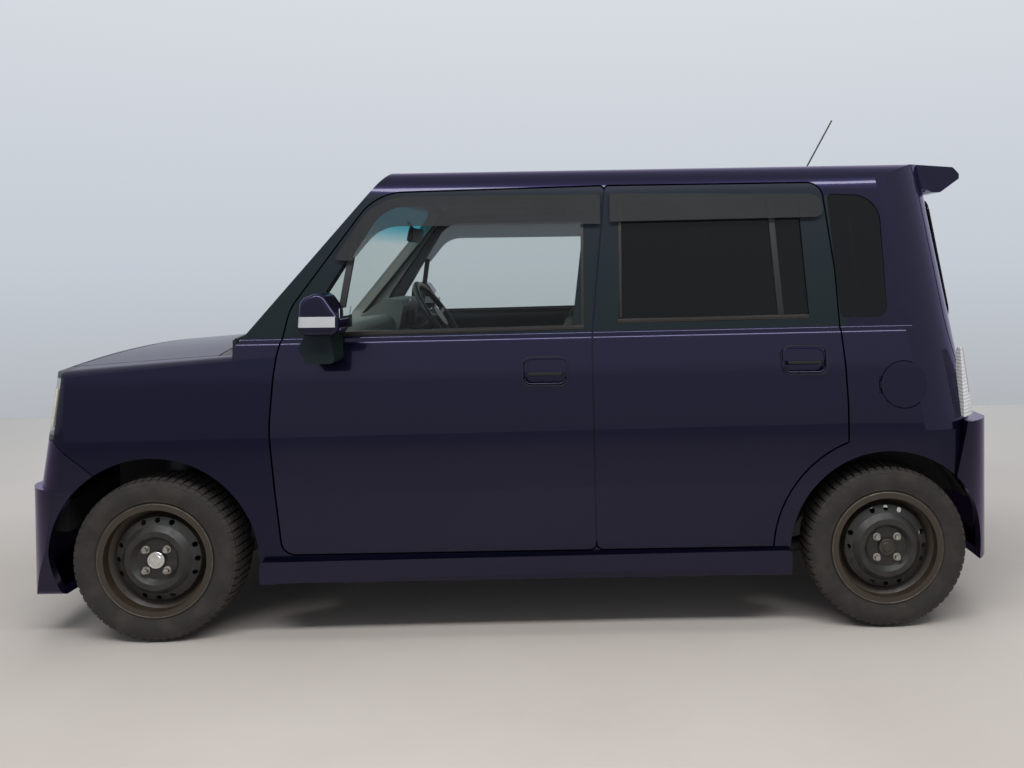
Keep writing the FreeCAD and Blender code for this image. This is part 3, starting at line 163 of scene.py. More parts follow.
def pillar_black(tree):
    """On the windscreen pillars and on the strip ahead of the quarter glass."""
    place = split(tree, "Object")
    pillar = times(tree, above(tree, place[0], screen_pillar_rear), below(tree, place[2], screen_pillar_top))
    strip = times(tree, above(tree, place[0], strip_rear), below(tree, place[0], strip_front))
    strip = times(tree, strip, below(tree, place[2], strip_top))
    return times(tree, over_belt(tree), maths(tree, "MAXIMUM", pillar, strip))


def pedestal_black(tree):
    """On the mirror's foot."""
    return below(tree, split(tree, "Object")[2], pedestal_top)


def signal_band(tree):
    """On the clear turn-lamp strip that runs round the front of the mirror."""
    place = split(tree, "Object")
    within = times(tree, above(tree, place[2], signal_low), below(tree, place[2], signal_high))
    return times(tree, within, above(tree, place[0], signal_rear))


def inner_side(tree):
    """On faces that look into the cabin."""
    inwards = times(tree, split(tree, "Object")[1], split(tree, "Normal")[1])
    return below(tree, inwards, -0.12)


def inner_roof(tree):
    """On faces that look down."""
    return below(tree, split(tree, "Normal")[2], -0.4)


def inner_tail(tree):
    """On faces that look forwards."""
    return above(tree, split(tree, "Normal")[0], 0.3)


# Finishes

flake_scale, cloud_scale = 2600.0, 1.6
flake_dark, flake_light = (0.0048, 0.0066, 0.020), (0.0170, 0.0140, 0.046)
cloud_tone = (0.0110, 0.0105, 0.031)
film_tone = (0.004, 0.013, 0.007)
paint_metal, paint_gloss, covered_roughness = 0.85, 0.28, 0.30
violet_edge = (0.58, 0.45, 0.85)


def plain(name, colour, roughness=0.5, metallic=0.0, grain=0.12, scale=60.0, bumps=0.0, coat=0.0):
    """Solid finish with a slight variation of colour and, if asked, fine bumps."""
    material, tree, shader = new_material(name)
    dark = tuple(channel * (1 - grain) for channel in colour)
    light = tuple(min(1.0, channel * (1 + grain)) for channel in colour)
    feed(tree, shader.inputs["Base Color"], ramp(tree, noise(tree, scale), [(0.3, dark), (0.7, light)]))
    shader.inputs["Roughness"].default_value = roughness
    shader.inputs["Metallic"].default_value = metallic
    shader.inputs["Coat Weight"].default_value = coat
    if bumps:
        bump(tree, shader, noise(tree, fine_bump_scale), bumps)
    return material


def pearl_paint(name, film=None, lining=None, lining_colour=None, coat=0.75, edge=violet_edge,
                gloss=paint_gloss):
    """Near-black navy pearl with a violet flake under a clear coat; black film and cabin lining by mask."""
    material, tree, shader = new_material(name)
    base = mix(tree, noise(tree, flake_scale, 1.0), flake_dark, flake_light)
    colour = mix(tree, noise(tree, cloud_scale, 3.0), base, cloud_tone)
    bare, covered = None, None
    for mask, tone in ((film, film_tone), (lining, lining_colour)):
        if mask is None:
            continue
        value = mask(tree)
        rest = maths(tree, "SUBTRACT", 1.0, value)
        colour = mix(tree, value, colour, tone)
        bare = rest if bare is None else times(tree, bare, rest)
        covered = value if covered is None else maths(tree, "MAXIMUM", covered, value)
    feed(tree, shader.inputs["Base Color"], colour)
    if bare is None:
        metal, roughness, clear = paint_metal, gloss, coat
    else:
        metal = times(tree, bare, paint_metal)
        roughness = maths(tree, "ADD", times(tree, covered, covered_roughness), gloss)
        clear = times(tree, bare, coat)
    feed(tree, shader.inputs["Metallic"], metal)
    feed(tree, shader.inputs["Roughness"], roughness)
    feed(tree, shader.inputs["Coat Weight"], clear)
    shader.inputs["Specular IOR Level"].default_value = 0.4
    shader.inputs["Specular Tint"].default_value = (*edge, 1.0)
    shader.inputs["Coat Roughness"].default_value = 0.03
    shader.inputs["Coat IOR"].default_value = 1.36
    return material


def glass(name, tint, clear, roughness=0.02, film_share=0.08, band=None):
    """Thin tinted pane: a share of clear passage and a glossy face; a band tints it above a height."""
    material, tree, shader = new_material(name)
    through = tree.nodes.new("ShaderNodeBsdfTransparent")
    passage = tint
    if band:
        height, shade = band
        rise = times(tree, maths(tree, "SUBTRACT", split(tree, "Object")[2], height), 12.0)
        passage = ramp(tree, rise, [(0.0, tint), (1.0, shade)])
    feed(tree, through.inputs["Color"], passage)
    faint, full = (tuple(channel * film_share * share for channel in tint) for share in (0.8, 1.0))
    feed(tree, shader.inputs["Base Color"], ramp(tree, noise(tree, 3.0), [(0.3, faint), (0.7, full)]))
    shader.inputs["Roughness"].default_value = roughness
    blend = tree.nodes.new("ShaderNodeMixShader")
    blend.inputs["Fac"].default_value = 1 - clear
    tree.links.new(through.outputs[0], blend.inputs[1])
    tree.links.new(shader.outputs[0], blend.inputs[2])
    tree.links.new(blend.outputs[0], tree.nodes["Material Output"].inputs["Surface"])
    return material


def hub_distance(tree):
    """Distance from the nearer axle line, for marks that run round all four wheels."""
    axle_middle, half_wheelbase, hub_height = -0.0325, 1.245, 0.2785
    place = split(tree, "Object")
    along = maths(tree, "ABSOLUTE", maths(tree, "SUBTRACT", place[0], axle_middle))
    along = maths(tree, "SUBTRACT", along, half_wheelbase)
    rise = maths(tree, "SUBTRACT", place[2], hub_height)
    return maths(tree, "SQRT", maths(tree, "ADD", times(tree, along, along), times(tree, rise, rise)))


def wheel_enamel(name):
    """Black enamel, dusty in patches, with brown dirt towards the rim."""
    clean, dusty, brown = (0.010, 0.010, 0.009), (0.030, 0.027, 0.022), (0.042, 0.028, 0.017)
    material, tree, shader = new_material(name)
    patches = noise(tree, 24.0, 5.0)
    base = mix(tree, ramp(tree, patches, [(0.42, black), (0.70, (0.8, 0.8, 0.8))]), clean, dusty)
    rim = ramp(tree, times(tree, hub_distance(tree), 5.0), [(0.66, black), (0.86, (0.75, 0.75, 0.75))])
    feed(tree, shader.inputs["Base Color"], mix(tree, rim, base, brown))
    uneven = ramp(tree, patches, [(0.3, (0.36, 0.36, 0.36)), (0.7, (0.62, 0.62, 0.62))])
    feed(tree, shader.inputs["Roughness"], uneven)
    return material


def ridged_lens(name):
    """Bright lamp cover over silver ridges, painted darker in the grooves and lighter on the crests as
    painted shade and highlight, with a red upper part on the face that looks back.
    """
    ridges_a_metre, red_foot = 520.0, 0.80
    shaded_groove, lit_crest, red = (0.74, 0.75, 0.75), (0.97, 0.97, 0.95), (0.34, 0.010, 0.010)
    material, tree, shader = new_material(name)
    height = split(tree, "Object")[2]
    wave = maths(tree, "SINE", times(tree, height, ridges_a_metre))
    # Painted shade and highlight: the colour follows the ridges, darker in the grooves and lighter on the
    # crests.
    pale = ramp(tree, maths(tree, "ADD", times(tree, wave, 0.5), 0.5), [(0.2, shaded_groove), (0.7, lit_crest)])
    rear = times(tree, below(tree, split(tree, "Normal")[0], -0.80), above(tree, height, red_foot))
    feed(tree, shader.inputs["Base Color"], mix(tree, rear, pale, red))
    shader.inputs["Roughness"].default_value = 0.18
    shader.inputs["Coat Weight"].default_value = 0.8
    bump(tree, shader, wave, 0.3)
    return material


def tyre_rubber(name):
    """Dark rubber with a fine grain and brown dust in patches."""
    dark, light, dust = (0.014, 0.0125, 0.0115), (0.028, 0.0245, 0.022), (0.062, 0.050, 0.040)
    material, tree, shader = new_material(name)
    fine = noise(tree, 160.0, 3.0)
    dusty = ramp(tree, noise(tree, 14.0, 6.0), [(0.45, black), (0.75, (0.5, 0.5, 0.5))])
    feed(tree, shader.inputs["Base Color"], mix(tree, dusty, mix(tree, fine, dark, light), dust))
    shader.inputs["Roughness"].default_value = 0.82
    bump(tree, shader, fine, 0.25)
    return material


# By material slot
materials = {
    "body_paint": pearl_paint("paint"),
    "underbody_paint": plain("underseal", (0.016, 0.016, 0.017), 0.8, bumps=0.3),
    "black_trim": plain("black_plastic", (0.012, 0.012, 0.013), 0.42, bumps=0.15),
    "clear_glass": glass("green_glass", (0.965, 0.985, 0.976), 0.935),
    "dark_glass": glass("privacy_glass", (0.10, 0.12, 0.12), 0.55),
    "smoked_plastic": glass("smoked_sheet", (0.66, 0.67, 0.69), 0.62, 0.03, 0.10),
    "lamp_lens": glass("lens", (0.95, 0.96, 0.96), 0.72, 0.05, 0.5),
    "interior_plastic": plain("cabin_plastic", (0.15, 0.155, 0.145), 0.6, bumps=0.2),
    "seat_fabric": plain("seat_cloth", (0.05, 0.047, 0.045), 0.9, scale=300.0, bumps=0.4),
    "cast_metal": plain("engine_metal", (0.06, 0.06, 0.062), 0.6, 0.6),
    "chassis_steel": plain("chassis_black", (0.018, 0.018, 0.019), 0.55, 0.2, bumps=0.2),
    "exhaust_steel": plain("dull_steel", (0.16, 0.14, 0.12), 0.55, 0.8),
    "tyre_rubber": tyre_rubber("rubber"),
    "wheel_steel": wheel_enamel("wheel_black"),
}

# By node, where it differs from its slot's finish
special = {
    "side_frames": pearl_paint("frame_paint", pillar_black, inner_side, (0.26, 0.27, 0.25)),
    "roof": pearl_paint("roof_paint", None, inner_roof, (0.42, 0.43, 0.40)),
    "tailgate": pearl_paint("tailgate_paint", None, inner_tail, (0.08, 0.083, 0.08)),
    "tail_lamps": ridged_lens("tail_cover"),
    "windscreen": glass("screen_glass", (0.94, 0.975, 0.955), 0.90, band=(1.365, (0.30, 0.72, 0.80))),
}
# The hood and the front wings take a copy of the paint with less clear coat and a darker edge tint: painted
# shade that dims the reflections on their tops.
special["hood"] = special["front_wings"] = pearl_paint("dimmed_nose_paint", coat=0.45, edge=(0.30, 0.28, 0.42))
door_finish = pearl_paint("door_paint", over_belt, inner_side, (0.035, 0.037, 0.036))
mirror_finish = pearl_paint("mirror_paint", pedestal_black, signal_band, (0.50, 0.51, 0.53))
for word, side in sides:
    special[f"front_door_{word}"] = special[f"rear_door_{word}"] = door_finish
    special[f"mirror_{word}"] = mirror_finish

# Finishes of the small pieces
materials["lip_paint"] = pearl_paint("lip_paint", gloss=0.18)
for name, colour, roughness, options in (
        ("bright_metal", (0.62, 0.62, 0.60), 0.25, {"metallic": 0.95}),
        # the rim lip is lighter than the enamel, partly from dust and partly as a painted highlight
        ("worn_lip", (0.10, 0.090, 0.075), 0.45, {"metallic": 0.6, "grain": 0.4, "scale": 40.0}),
        ("amber", (0.75, 0.30, 0.03), 0.2, {"coat": 0.5}),
        ("red_lens", (0.45, 0.012, 0.010), 0.2, {"coat": 0.5}),
        ("lamp_silver", (0.70, 0.69, 0.64), 0.3, {"metallic": 0.6}),
        ("lamp_cream", (0.72, 0.68, 0.52), 0.3, {}),
        ("belt_brown", (0.034, 0.031, 0.028), 0.30, {"metallic": 0.35}),
        ("mirror_face", (0.80, 0.82, 0.84), 0.03, {"metallic": 1.0, "grain": 0.02}),
        # black for the painted shadow under the door handles' flaps
        ("liner_black", (0.008, 0.008, 0.008), 0.85, {}),
        ("dial_face", (0.02, 0.022, 0.025), 0.2, {}),
        ("matte_black", (0.009, 0.009, 0.010), 0.65, {"bumps": 0.1}),
        ("worn_nuts", (0.36, 0.34, 0.31), 0.4, {"metallic": 0.85, "grain": 0.45, "scale": 160.0}),
        # the rear centre caps' dull, dark brownish finish
        ("dusty_cap", (0.055, 0.048, 0.040), 0.5, {"metallic": 0.5, "grain": 0.3, "scale": 80.0})):
    materials[name] = plain(name, colour, roughness, **options)

slots = {part["node"]: part["material_slot"] for part in frame["record"]["subparts"]}
for name, obj in nodes.items():
    obj.data.materials.clear()
    obj.data.materials.append(special.get(name, materials[slots[name]]))


# Shared makers of pieces

def lay(bm, name, finish, body, sharp=35.0):
    """Turn a bmesh into a finished piece that rides on a body."""
    bmesh.ops.recalc_face_normals(bm, faces=bm.faces)
    mesh = bpy.data.meshes.new(name)
    bm.to_mesh(mesh)
    bm.free()
    mesh.shade_smooth()
    mesh.set_sharp_from_angle(angle=math.radians(sharp))
    mesh.materials.append(materials[finish])
    obj = bpy.data.objects.new(name, mesh)
    scene.collection.objects.link(obj)
    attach(obj, body)
    return obj


def soften(bm, verts, width, segments, sharp=0.0):
    """Round the edges at some vertices where they fold by more than an angle, in a fixed order."""
    edges = dict.fromkeys(item for vert in verts if vert.is_valid for item in vert.link_edges)
    folds = [item for item in edges if item.calc_face_angle(0.0) > sharp]
    bmesh.ops.bevel(bm, geom=folds, offset=width, segments=segments, profile=0.5, affect="EDGES",
                    material=-1, clamp_overlap=True)


def rounded_block(bm, centre, half, edge, segments=3, turn=None):
    """Add a block with rounded edges, turned about its centre."""
    size = Matrix.Diagonal((*(2 * Vector(half)), 1))
    place = Matrix.Translation(centre) @ (turn or Matrix.Identity(4)) @ size
    made = bmesh.ops.create_cube(bm, size=1.0, matrix=place)
    soften(bm, made["verts"], edge, segments)


def block_piece(name, finish, body, centre, half, edge, segments=3, turn=None):
    """A rounded block as a piece of its own."""
    bm = bmesh.new()
    rounded_block(bm, Vector(centre), half, edge, segments, turn)
    return lay(bm, name, finish, body)


def leaning(degrees):
    """A turn about the car's cross axis."""
    return Matrix.Rotation(math.radians(degrees), 4, "Y")


def turned(bm, profile, centre, axis, steps):
    """Spin a closed loop of (along axis, radius) points once round an axis through a centre."""
    along_axis, out = Vector(axis), Vector(up_axis)
    ring = [bm.verts.new(Vector(centre) + along_axis * along + out * radius) for along, radius in profile]
    edges = [bm.edges.new(pair) for pair in zip(ring, ring[1:] + ring[:1])]
    bmesh.ops.spin(bm, geom=ring + edges, cent=centre, axis=along_axis, angle=2 * math.pi, steps=steps,
                   use_merge=True)
    bmesh.ops.remove_doubles(bm, verts=bm.verts, dist=1e-6)


def bar(bm, points, across, out, edge=0.0):
    """Add a bar of rectangular section through the points; across and out are its half sizes."""
    across, out = Vector(across), Vector(out)
    corners = ((-1, -1), (1, -1), (1, 1), (-1, 1))
    made = [bm.verts.new(Vector(points[0]) + across * a + out * b) for a, b in corners]
    face = bm.faces.new(made)
    for first, second in zip(points, points[1:]):
        grown = bmesh.ops.extrude_face_region(bm, geom=[face])["geom"]
        face = next(item for item in grown if isinstance(item, bmesh.types.BMFace))
        bmesh.ops.translate(bm, verts=face.verts, vec=Vector(second) - Vector(first))
        made += list(face.verts)
    if edge:
        soften(bm, made, edge, 2, math.radians(40))


# Wheels and tyres

tyre_width, bead_radius, wall_height = 0.155, 0.1785, 0.1002
# Half of the outer profile as (share of the width, share of the wall)
outer_wall = ((0.395, 0.0), (0.405, 0.10), (0.43, 0.20), (0.452, 0.235), (0.452, 0.265), (0.462, 0.30),
              (0.485, 0.42), (0.498, 0.54), (0.494, 0.66), (0.478, 0.76), (0.455, 0.84), (0.430, 0.885),
              (0.36, 0.915), (0.18, 0.928))
inner_wall = ((0.36, 0.0), (0.42, 0.55), (0.20, 0.84))
tread_blocks, block_length, block_half_depth = 64, 0.0205, 0.0045
# Rows of blocks as (place across, drop below the crown, width, lean)
tread_rows = ((0.0, 0.0006, 0.016, 0.0), (0.0215, 0.0008, 0.020, 0.0), (-0.0215, 0.0008, 0.020, 0.0),
              (0.0475, 0.0020, 0.023, 0.10), (-0.0475, 0.0020, 0.023, 0.10),
              (0.0655, 0.0105, 0.016, 0.95), (-0.0655, 0.0105, 0.016, 0.95))
rim_lip_out, rim_lip_drop, rim_lip_radius, rim_lip_points = 0.0683, 0.0035, 0.0022, 10
nut_circle, nut_seat = 0.050, 0.0535
# A nut's washer and its hexagon as (height, radius, corners)
nut_parts = ((0.004, 0.0135, 24), (0.018, 0.0098, 6))
cap_profile = ((0.054, 0.0285), (0.062, 0.0285), (0.0638, 0.0268), (0.0638, 0.0225), (0.0616, 0.0212),
               (0.0616, 0.0178), (0.0636, 0.0162), (0.0645, 0.0105), (0.0640, 0.0001), (0.054, 0.0001))
# The rear centre caps take a dull, dark brownish finish, the front ones bright metal.
cap_finish = {"front": "bright_metal", "rear": "dusty_cap"}


def corners_of(node):
    return [Vector(corner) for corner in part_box(node)]


def tread_row(target, centre, side, offset, radius, width, lean):
    """One ring of tread blocks."""
    row = bmesh.new()
    turn = Matrix.Rotation(-math.copysign(lean, offset) * side, 4, "X")
    rounded_block(row, centre + Vector((0, side * offset, radius - block_half_depth)),
                  (block_length / 2, width / 2, block_half_depth), 0.0014, 1, turn)
    steps = tread_blocks - 1
    bmesh.ops.spin(row, geom=row.verts[:] + row.edges[:] + row.faces[:], cent=centre, axis=side_axis,
                   angle=2 * math.pi * steps / tread_blocks, steps=steps, use_duplicate=True)
    mesh = bpy.data.meshes.new("row")
    row.to_mesh(mesh)
    row.free()
    target.from_mesh(mesh)
    bpy.data.meshes.remove(mesh)


def tyre(end, word, side):
    """Tyre with a bulged sidewall, a bead, a rim-guard rib and seven rows of tread blocks."""
    low, high = corners_of(f"tyre_{end}_{word}")
    centre = (low + high) / 2
    outer, inner = ([(share * tyre_width, bead_radius + rise * wall_height) for share, rise in wall]
                    for wall in (outer_wall, inner_wall))
    profile = outer + [(-y, r) for y, r in reversed(outer)] + [(-y, r) for y, r in inner] + inner[::-1]
    bm = bmesh.new()
    turned(bm, [(side * y, r) for y, r in profile], centre, side_axis, 96)
    radius = (high.z - low.z) / 2
    for offset, drop, width, lean in tread_rows:
        tread_row(bm, centre, side, offset, radius - drop, width, lean)
    obj = lay(bm, f"tyre_tread_{end}_{word}", "tyre_rubber", f"wheel_{end}_{word}", 30.0)
    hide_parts(f"tyre_{end}_{word}")


def wheel_trim(end, word, side):
    """Rim lip, wheel nuts and centre cap."""
    body = f"wheel_{end}_{word}"
    low, high = corners_of(body)
    tyre_low, tyre_high = corners_of(f"tyre_{end}_{word}")
    centre = (tyre_low + tyre_high) / 2
    rim = (high.z - low.z) / 2
    bm = bmesh.new()
    circle = [2 * math.pi * step / rim_lip_points for step in range(rim_lip_points)]
    lip = [(side * (rim_lip_out + rim_lip_radius * math.sin(turn)),
            rim - rim_lip_drop + rim_lip_radius * math.cos(turn)) for turn in circle]
    turned(bm, lip, centre, side_axis, 96)
    # The lip's lighter colour is partly dust and partly a painted highlight.
    lay(bm, f"rim_lip_{end}_{word}", "worn_lip", body)
    bm = bmesh.new()
    for quarter in range(4):
        turn = math.pi / 4 + quarter * math.pi / 2
        place = centre + Vector((nut_circle * math.cos(turn), side * nut_seat, nut_circle * math.sin(turn)))
        for height, radius, corners in nut_parts:
            middle = Matrix.Translation(place + Vector((0, side * height / 2, 0)))
            made = bmesh.ops.create_cone(bm, cap_ends=True, segments=corners, radius1=radius, radius2=radius,
                                         depth=height, matrix=middle @ Matrix.Rotation(math.pi / 2, 4, "X"))
            soften(bm, made["verts"], 0.0012, 2, 1.2)
    lay(bm, f"wheel_nuts_{end}_{word}", "worn_nuts", body)
    bm = bmesh.new()
    turned(bm, [(side * y, r) for y, r in cap_profile], centre, side_axis, 48)
    lay(bm, f"centre_cap_{end}_{word}", cap_finish[end], body)


for word, side in sides:
    for end in ends:
        tyre(end, word, side)
        wheel_trim(end, word, side)


# Side windows, handles and mirrors

# The side above the belt leans inwards from a line that falls gently towards the front
line_x, line_height, line_out, side_lean = -1.103, 1.040, 0.680, 0.1118
# Strips as (name, finish, how far sunk, half height or length, half thickness, edge, (x, z) places by door)
side_strips = (
    ("belt_moulding", "belt_brown", 0.004, (0, 0, 0.0075), 0.0065, 0.0025,
     {"front": ((0.672, 1.0335), (0.30, 1.0385), (-0.19, 1.0475), (-0.238, 1.0485)),
      "rear": ((-0.352, 1.0675), (-0.70, 1.0735), (-1.018, 1.0775))}),
    ("glass_bar", "matte_black", 0.010, (0.011, 0, 0), 0.008, 0.0025,
     {"front": ((0.566, 1.296), (0.590, 1.147), (0.608, 1.030)), "rear": ((-0.891, 1.488), (-0.921, 1.073))}),
    ("window_channel", "belt_brown", 0.004, (0.005, 0, 0), 0.0055, 0.002,
     {"front": ((-0.2315, 1.055), (-0.2315, 1.405)), "rear": ((-0.3635, 1.078), (-0.3635, 1.480))}),
)
handle_places = {"front": (-0.1047, 0.9048), "rear": (-0.9887, 0.9339)}
recess_half, recess_bend, lip_inset = (0.075, 0.049), 0.026, 0.0065
shade_ring_out, lip_out, slot_out, slot_drop = 0.7368, 0.7335, 0.7290, 0.010
corner_steps = 6


def side_surface(x, z, side, sunk):
    """A point under the outer face of the car's side, above the belt."""
    rise = z + belt_fall * (x - line_x) - line_height
    return Vector((x, side * (line_out - side_lean * rise), z)) - Vector((0, side * sunk, 0))


def window_strips(word, side):
    """Belt mouldings along the sills, bars that part the glasses, and channels by the middle pillar."""
    for name, finish, sunk, across, thick, edge, doors in side_strips:
        for end, places in doors.items():
            bm = bmesh.new()
            line = [side_surface(x, z, side, sunk) for x, z in places]
            bar(bm, line, across, (0, side * thick, 0), edge)
            lay(bm, f"{name}_{end}_{word}", finish, f"{end}_door_{word}")


def rounded_loop(x, z, inset, start=0):
    """Points round the handle's recess in the (x, z) plane, corner by corner from one of its four corners."""
    bend = recess_bend - inset
    reach, rise = recess_half[0] - inset - bend, recess_half[1] - inset - bend
    corners = ((x + reach, z + rise, 0), (x - reach, z + rise, 1),
               (x - reach, z - rise, 2), (x + reach, z - rise, 3))
    points = []
    for corner_x, corner_z, quarter in corners[start:]:
        for step in range(corner_steps + 1):
            turn = (quarter + step / corner_steps) * math.pi / 2
            points.append((corner_x + bend * math.cos(turn), corner_z + bend * math.sin(turn)))
    return points


def tube(name, points, radius, cyclic, finish, body):
    """A round bar along a line of points."""
    data = bpy.data.curves.new(name, "CURVE")
    data.dimensions = "3D"
    data.bevel_depth = radius
    data.bevel_resolution = 3
    data.use_fill_caps = not cyclic
    line = data.splines.new("POLY")
    line.points.add(len(points) - 1)
    for point, place in zip(line.points, points):
        point.co = (*place, 1.0)
    line.use_cyclic_u = cyclic
    shape = bpy.data.objects.new(name, data)
    bm = bmesh.new()
    bm.from_mesh(bpy.data.meshes.new_from_object(shape))
    bpy.data.objects.remove(shape)
    return lay(bm, name, finish, body, 50.0)


def door_handle(end, word, side):
    """Painted shade: a black ring drawn round the recess edge and a black block in the slot under the flap;
    and the bright lower lip of the bowl.
    """
    x, z = handle_places[end]
    body = f"{end}_door_{word}"
    # Painted shade: a thin black tube round the recess edge.
    ring = [(a, side * shade_ring_out, b) for a, b in rounded_loop(x, z, 0.0)]
    tube(f"handle_shade_ring_{end}_{word}", ring, 0.0014, True, "matte_black", body)
    lip = [(a, side * lip_out, b) for a, b in rounded_loop(x, z, lip_inset, 2)]
    tube(f"handle_lip_{end}_{word}", lip, 0.0040, False, "lip_paint", body)
    # Painted shadow: a black block in the slot under the flap.
    block_piece(f"handle_slot_shadow_{end}_{word}", "liner_black", body,
                (x, side * slot_out, z - slot_drop), (0.058, 0.004, 0.0055), 0.003, 2)


for word, side in sides:
    window_strips(word, side)
    block_piece(f"mirror_glass_{word}", "mirror_face", f"front_door_{word}",
                (0.5472, side * 0.776, 1.095), (0.0015, 0.066, 0.034), 0.0012, 2)
    for end in ends:
        door_handle(end, word, side)


# Lamps and the lower intake

bowl_profile = ((0.0, 0.004), (0.003, 0.016), (0.010, 0.030), (0.022, 0.043), (0.034, 0.051), (0.034, 0.054),
                (0.020, 0.047), (0.006, 0.034), (-0.003, 0.016), (-0.003, 0.004))
bulb_profile = ((0.0, 0.0001), (0.0, 0.006), (0.018, 0.006), (0.023, 0.0035), (0.024, 0.0001))
turn_bowl_profile = tuple((along * 0.6, radius * 0.62) for along, radius in bowl_profile)
intake_foot, intake_head = 0.226, 0.446
intake_places = [-0.378 + 0.063 * step for step in range(13)]
slat_heights = (0.270, 0.303, 0.336, 0.369, 0.402)
slat_depth, backing_depth = 0.016, 0.0235


def headlamp_inside(word, side):
    """Reflector bowl and bulb, the pale inner edge seen from the side, and the turn-lamp bowl."""
    def round_piece(name, finish, profile, centre, steps):
        bm = bmesh.new()
        turned(bm, profile, centre, ahead_axis, steps)
        lay(bm, f"{name}_{word}", finish, "root")

    lamp, turn_lamp = (1.559, side * 0.475, 0.795), (1.556, side * 0.622, 0.775)
    round_piece("lamp_bowl", "lamp_silver", bowl_profile, lamp, 48)
    round_piece("lamp_bulb", "lamp_cream", bulb_profile, lamp, 24)
    block_piece(f"lamp_edge_{word}", "lamp_cream", "root",
                (1.5455, side * 0.697, 0.795), (0.0045, 0.0045, 0.066), 0.003, 3, leaning(-9))
    round_piece("turn_bowl", "amber", turn_bowl_profile, turn_lamp, 36)


def corner_marker(word, side):
    """Small amber marker lamp, upright on the front bumper's corner."""
    near = Vector((1.640, side * 0.640, 0.600))
    spot, out = nodes["front_bumper"].closest_point_on_mesh(near)[1:3]
    along = Vector(up_axis).cross(out).normalized()
    turn = Matrix((out, along, out.cross(along))).transposed().to_4x4()
    block_piece(f"corner_marker_{word}", "amber", "root",
                spot, (0.0035, 0.010, 0.032), 0.003, 3, turn)


def intake_mesh():
    """Dark slats and a backing across the bumper's lower intake, set in the wall's depth."""
    foot_row, head_row = ([nodes["front_bumper"].ray_cast(Vector((2.0, y, z)), Vector((-1, 0, 0)))[1]
                           for y in intake_places] for z in (intake_foot, intake_head))

    def line(share, depth):
        return [low.lerp(high, share) - Vector((depth, 0, 0)) for low, high in zip(foot_row, head_row)]

    bm = bmesh.new()
    for z in slat_heights:
        share = (z - intake_foot) / (intake_head - intake_foot)
        bar(bm, line(share, slat_depth), (0, 0, 0.005), (0.006, 0, 0), 0.0015)
    upwards = (head_row[6] - foot_row[6]) * 0.48
    bar(bm, line(0.5, backing_depth), upwards, (0.001, 0, 0))
    lay(bm, "intake_mesh", "matte_black", "root")


for word, side in sides:
    headlamp_inside(word, side)
    corner_marker(word, side)
intake_mesh()


# Tail fittings

def rear_wiper():
    """Hub, arm and blade on the tailgate glass."""
    hub = Vector((-1.612, -0.10, 1.072))
    arm = (hub + Vector((-0.006, 0.0, 0.010)), (-1.600, 0.10, 1.120), (-1.592, 0.24, 1.150))
    blade = ((-1.598, 0.02, 1.118), (-1.586, 0.36, 1.160))
    bm = bmesh.new()
    rounded_block(bm, hub, (0.012, 0.020, 0.018), 0.006, 3)
    bar(bm, arm, (0, 0, 0.006), (0.004, 0, 0), 0.0015)
    bar(bm, blade, (0, 0, 0.004), (0.007, 0, 0), 0.0012)
    lay(bm, "rear_wiper", "matte_black", "tailgate")


block_piece("high_stop_lamp", "red_lens", "tailgate",
            (-1.600, 0, 1.560), (0.006, 0.11, 0.009), 0.003, 2, leaning(8))
rear_wiper()
block_piece("tailgate_handle", "matte_black", "tailgate",
            (-1.648, 0, 0.985), (0.011, 0.19, 0.014), 0.006, 3)
for word, side in sides:
    block_piece(f"bumper_reflector_{word}", "red_lens", "root",
                (-1.688, side * 0.500, 0.440), (0.006, 0.045, 0.018), 0.003, 2)


# Cabin

pad_cuts, pad_fill = 19, 0.8
channel_width, channel_depth = 0.035, 0.05
cushion_lean, front_lean, rear_lean = (math.radians(degrees) for degrees in (-3, -11, -13))


def pad(name, node, centre, half, lean=0.0, channels=(), round_share=0.30):
    """A stuffed cushion: a cube cut fine and drawn towards a ball, with sewn channels across its face."""
    bm = bmesh.new()
    bmesh.ops.create_cube(bm, size=2.0)
    bmesh.ops.subdivide_edges(bm, edges=bm.edges, cuts=pad_cuts, use_grid_fill=True)
    for vert in bm.verts:
        x, y, z = vert.co
        ball = Vector((x * math.sqrt(1 - y * y / 2 - z * z / 2 + y * y * z * z / 3),
                       y * math.sqrt(1 - z * z / 2 - x * x / 2 + z * z * x * x / 3),
                       z * math.sqrt(1 - x * x / 2 - y * y / 2 + x * x * y * y / 3)))
        vert.co = vert.co.lerp(ball, round_share)
        dip = min(sum(math.exp(-((y - at) / channel_width) ** 2) for at in channels), 1.0)
        vert.co.z -= channel_depth * dip * max(vert.co.z, 0.0)
        vert.co.x -= channel_depth * dip * max(vert.co.x, 0.0)
    bmesh.ops.smooth_vert(bm, verts=bm.verts, factor=0.5, use_axis_x=True, use_axis_y=True, use_axis_z=True)
    place = Matrix.Translation(centre) @ Matrix.Rotation(lean, 4, "Y") @ Matrix.Diagonal((*half, 1))
    bmesh.ops.transform(bm, matrix=place, verts=bm.verts)
    obj = lay(bm, name, "seat_fabric", "root", 60.0)
    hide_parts(node)


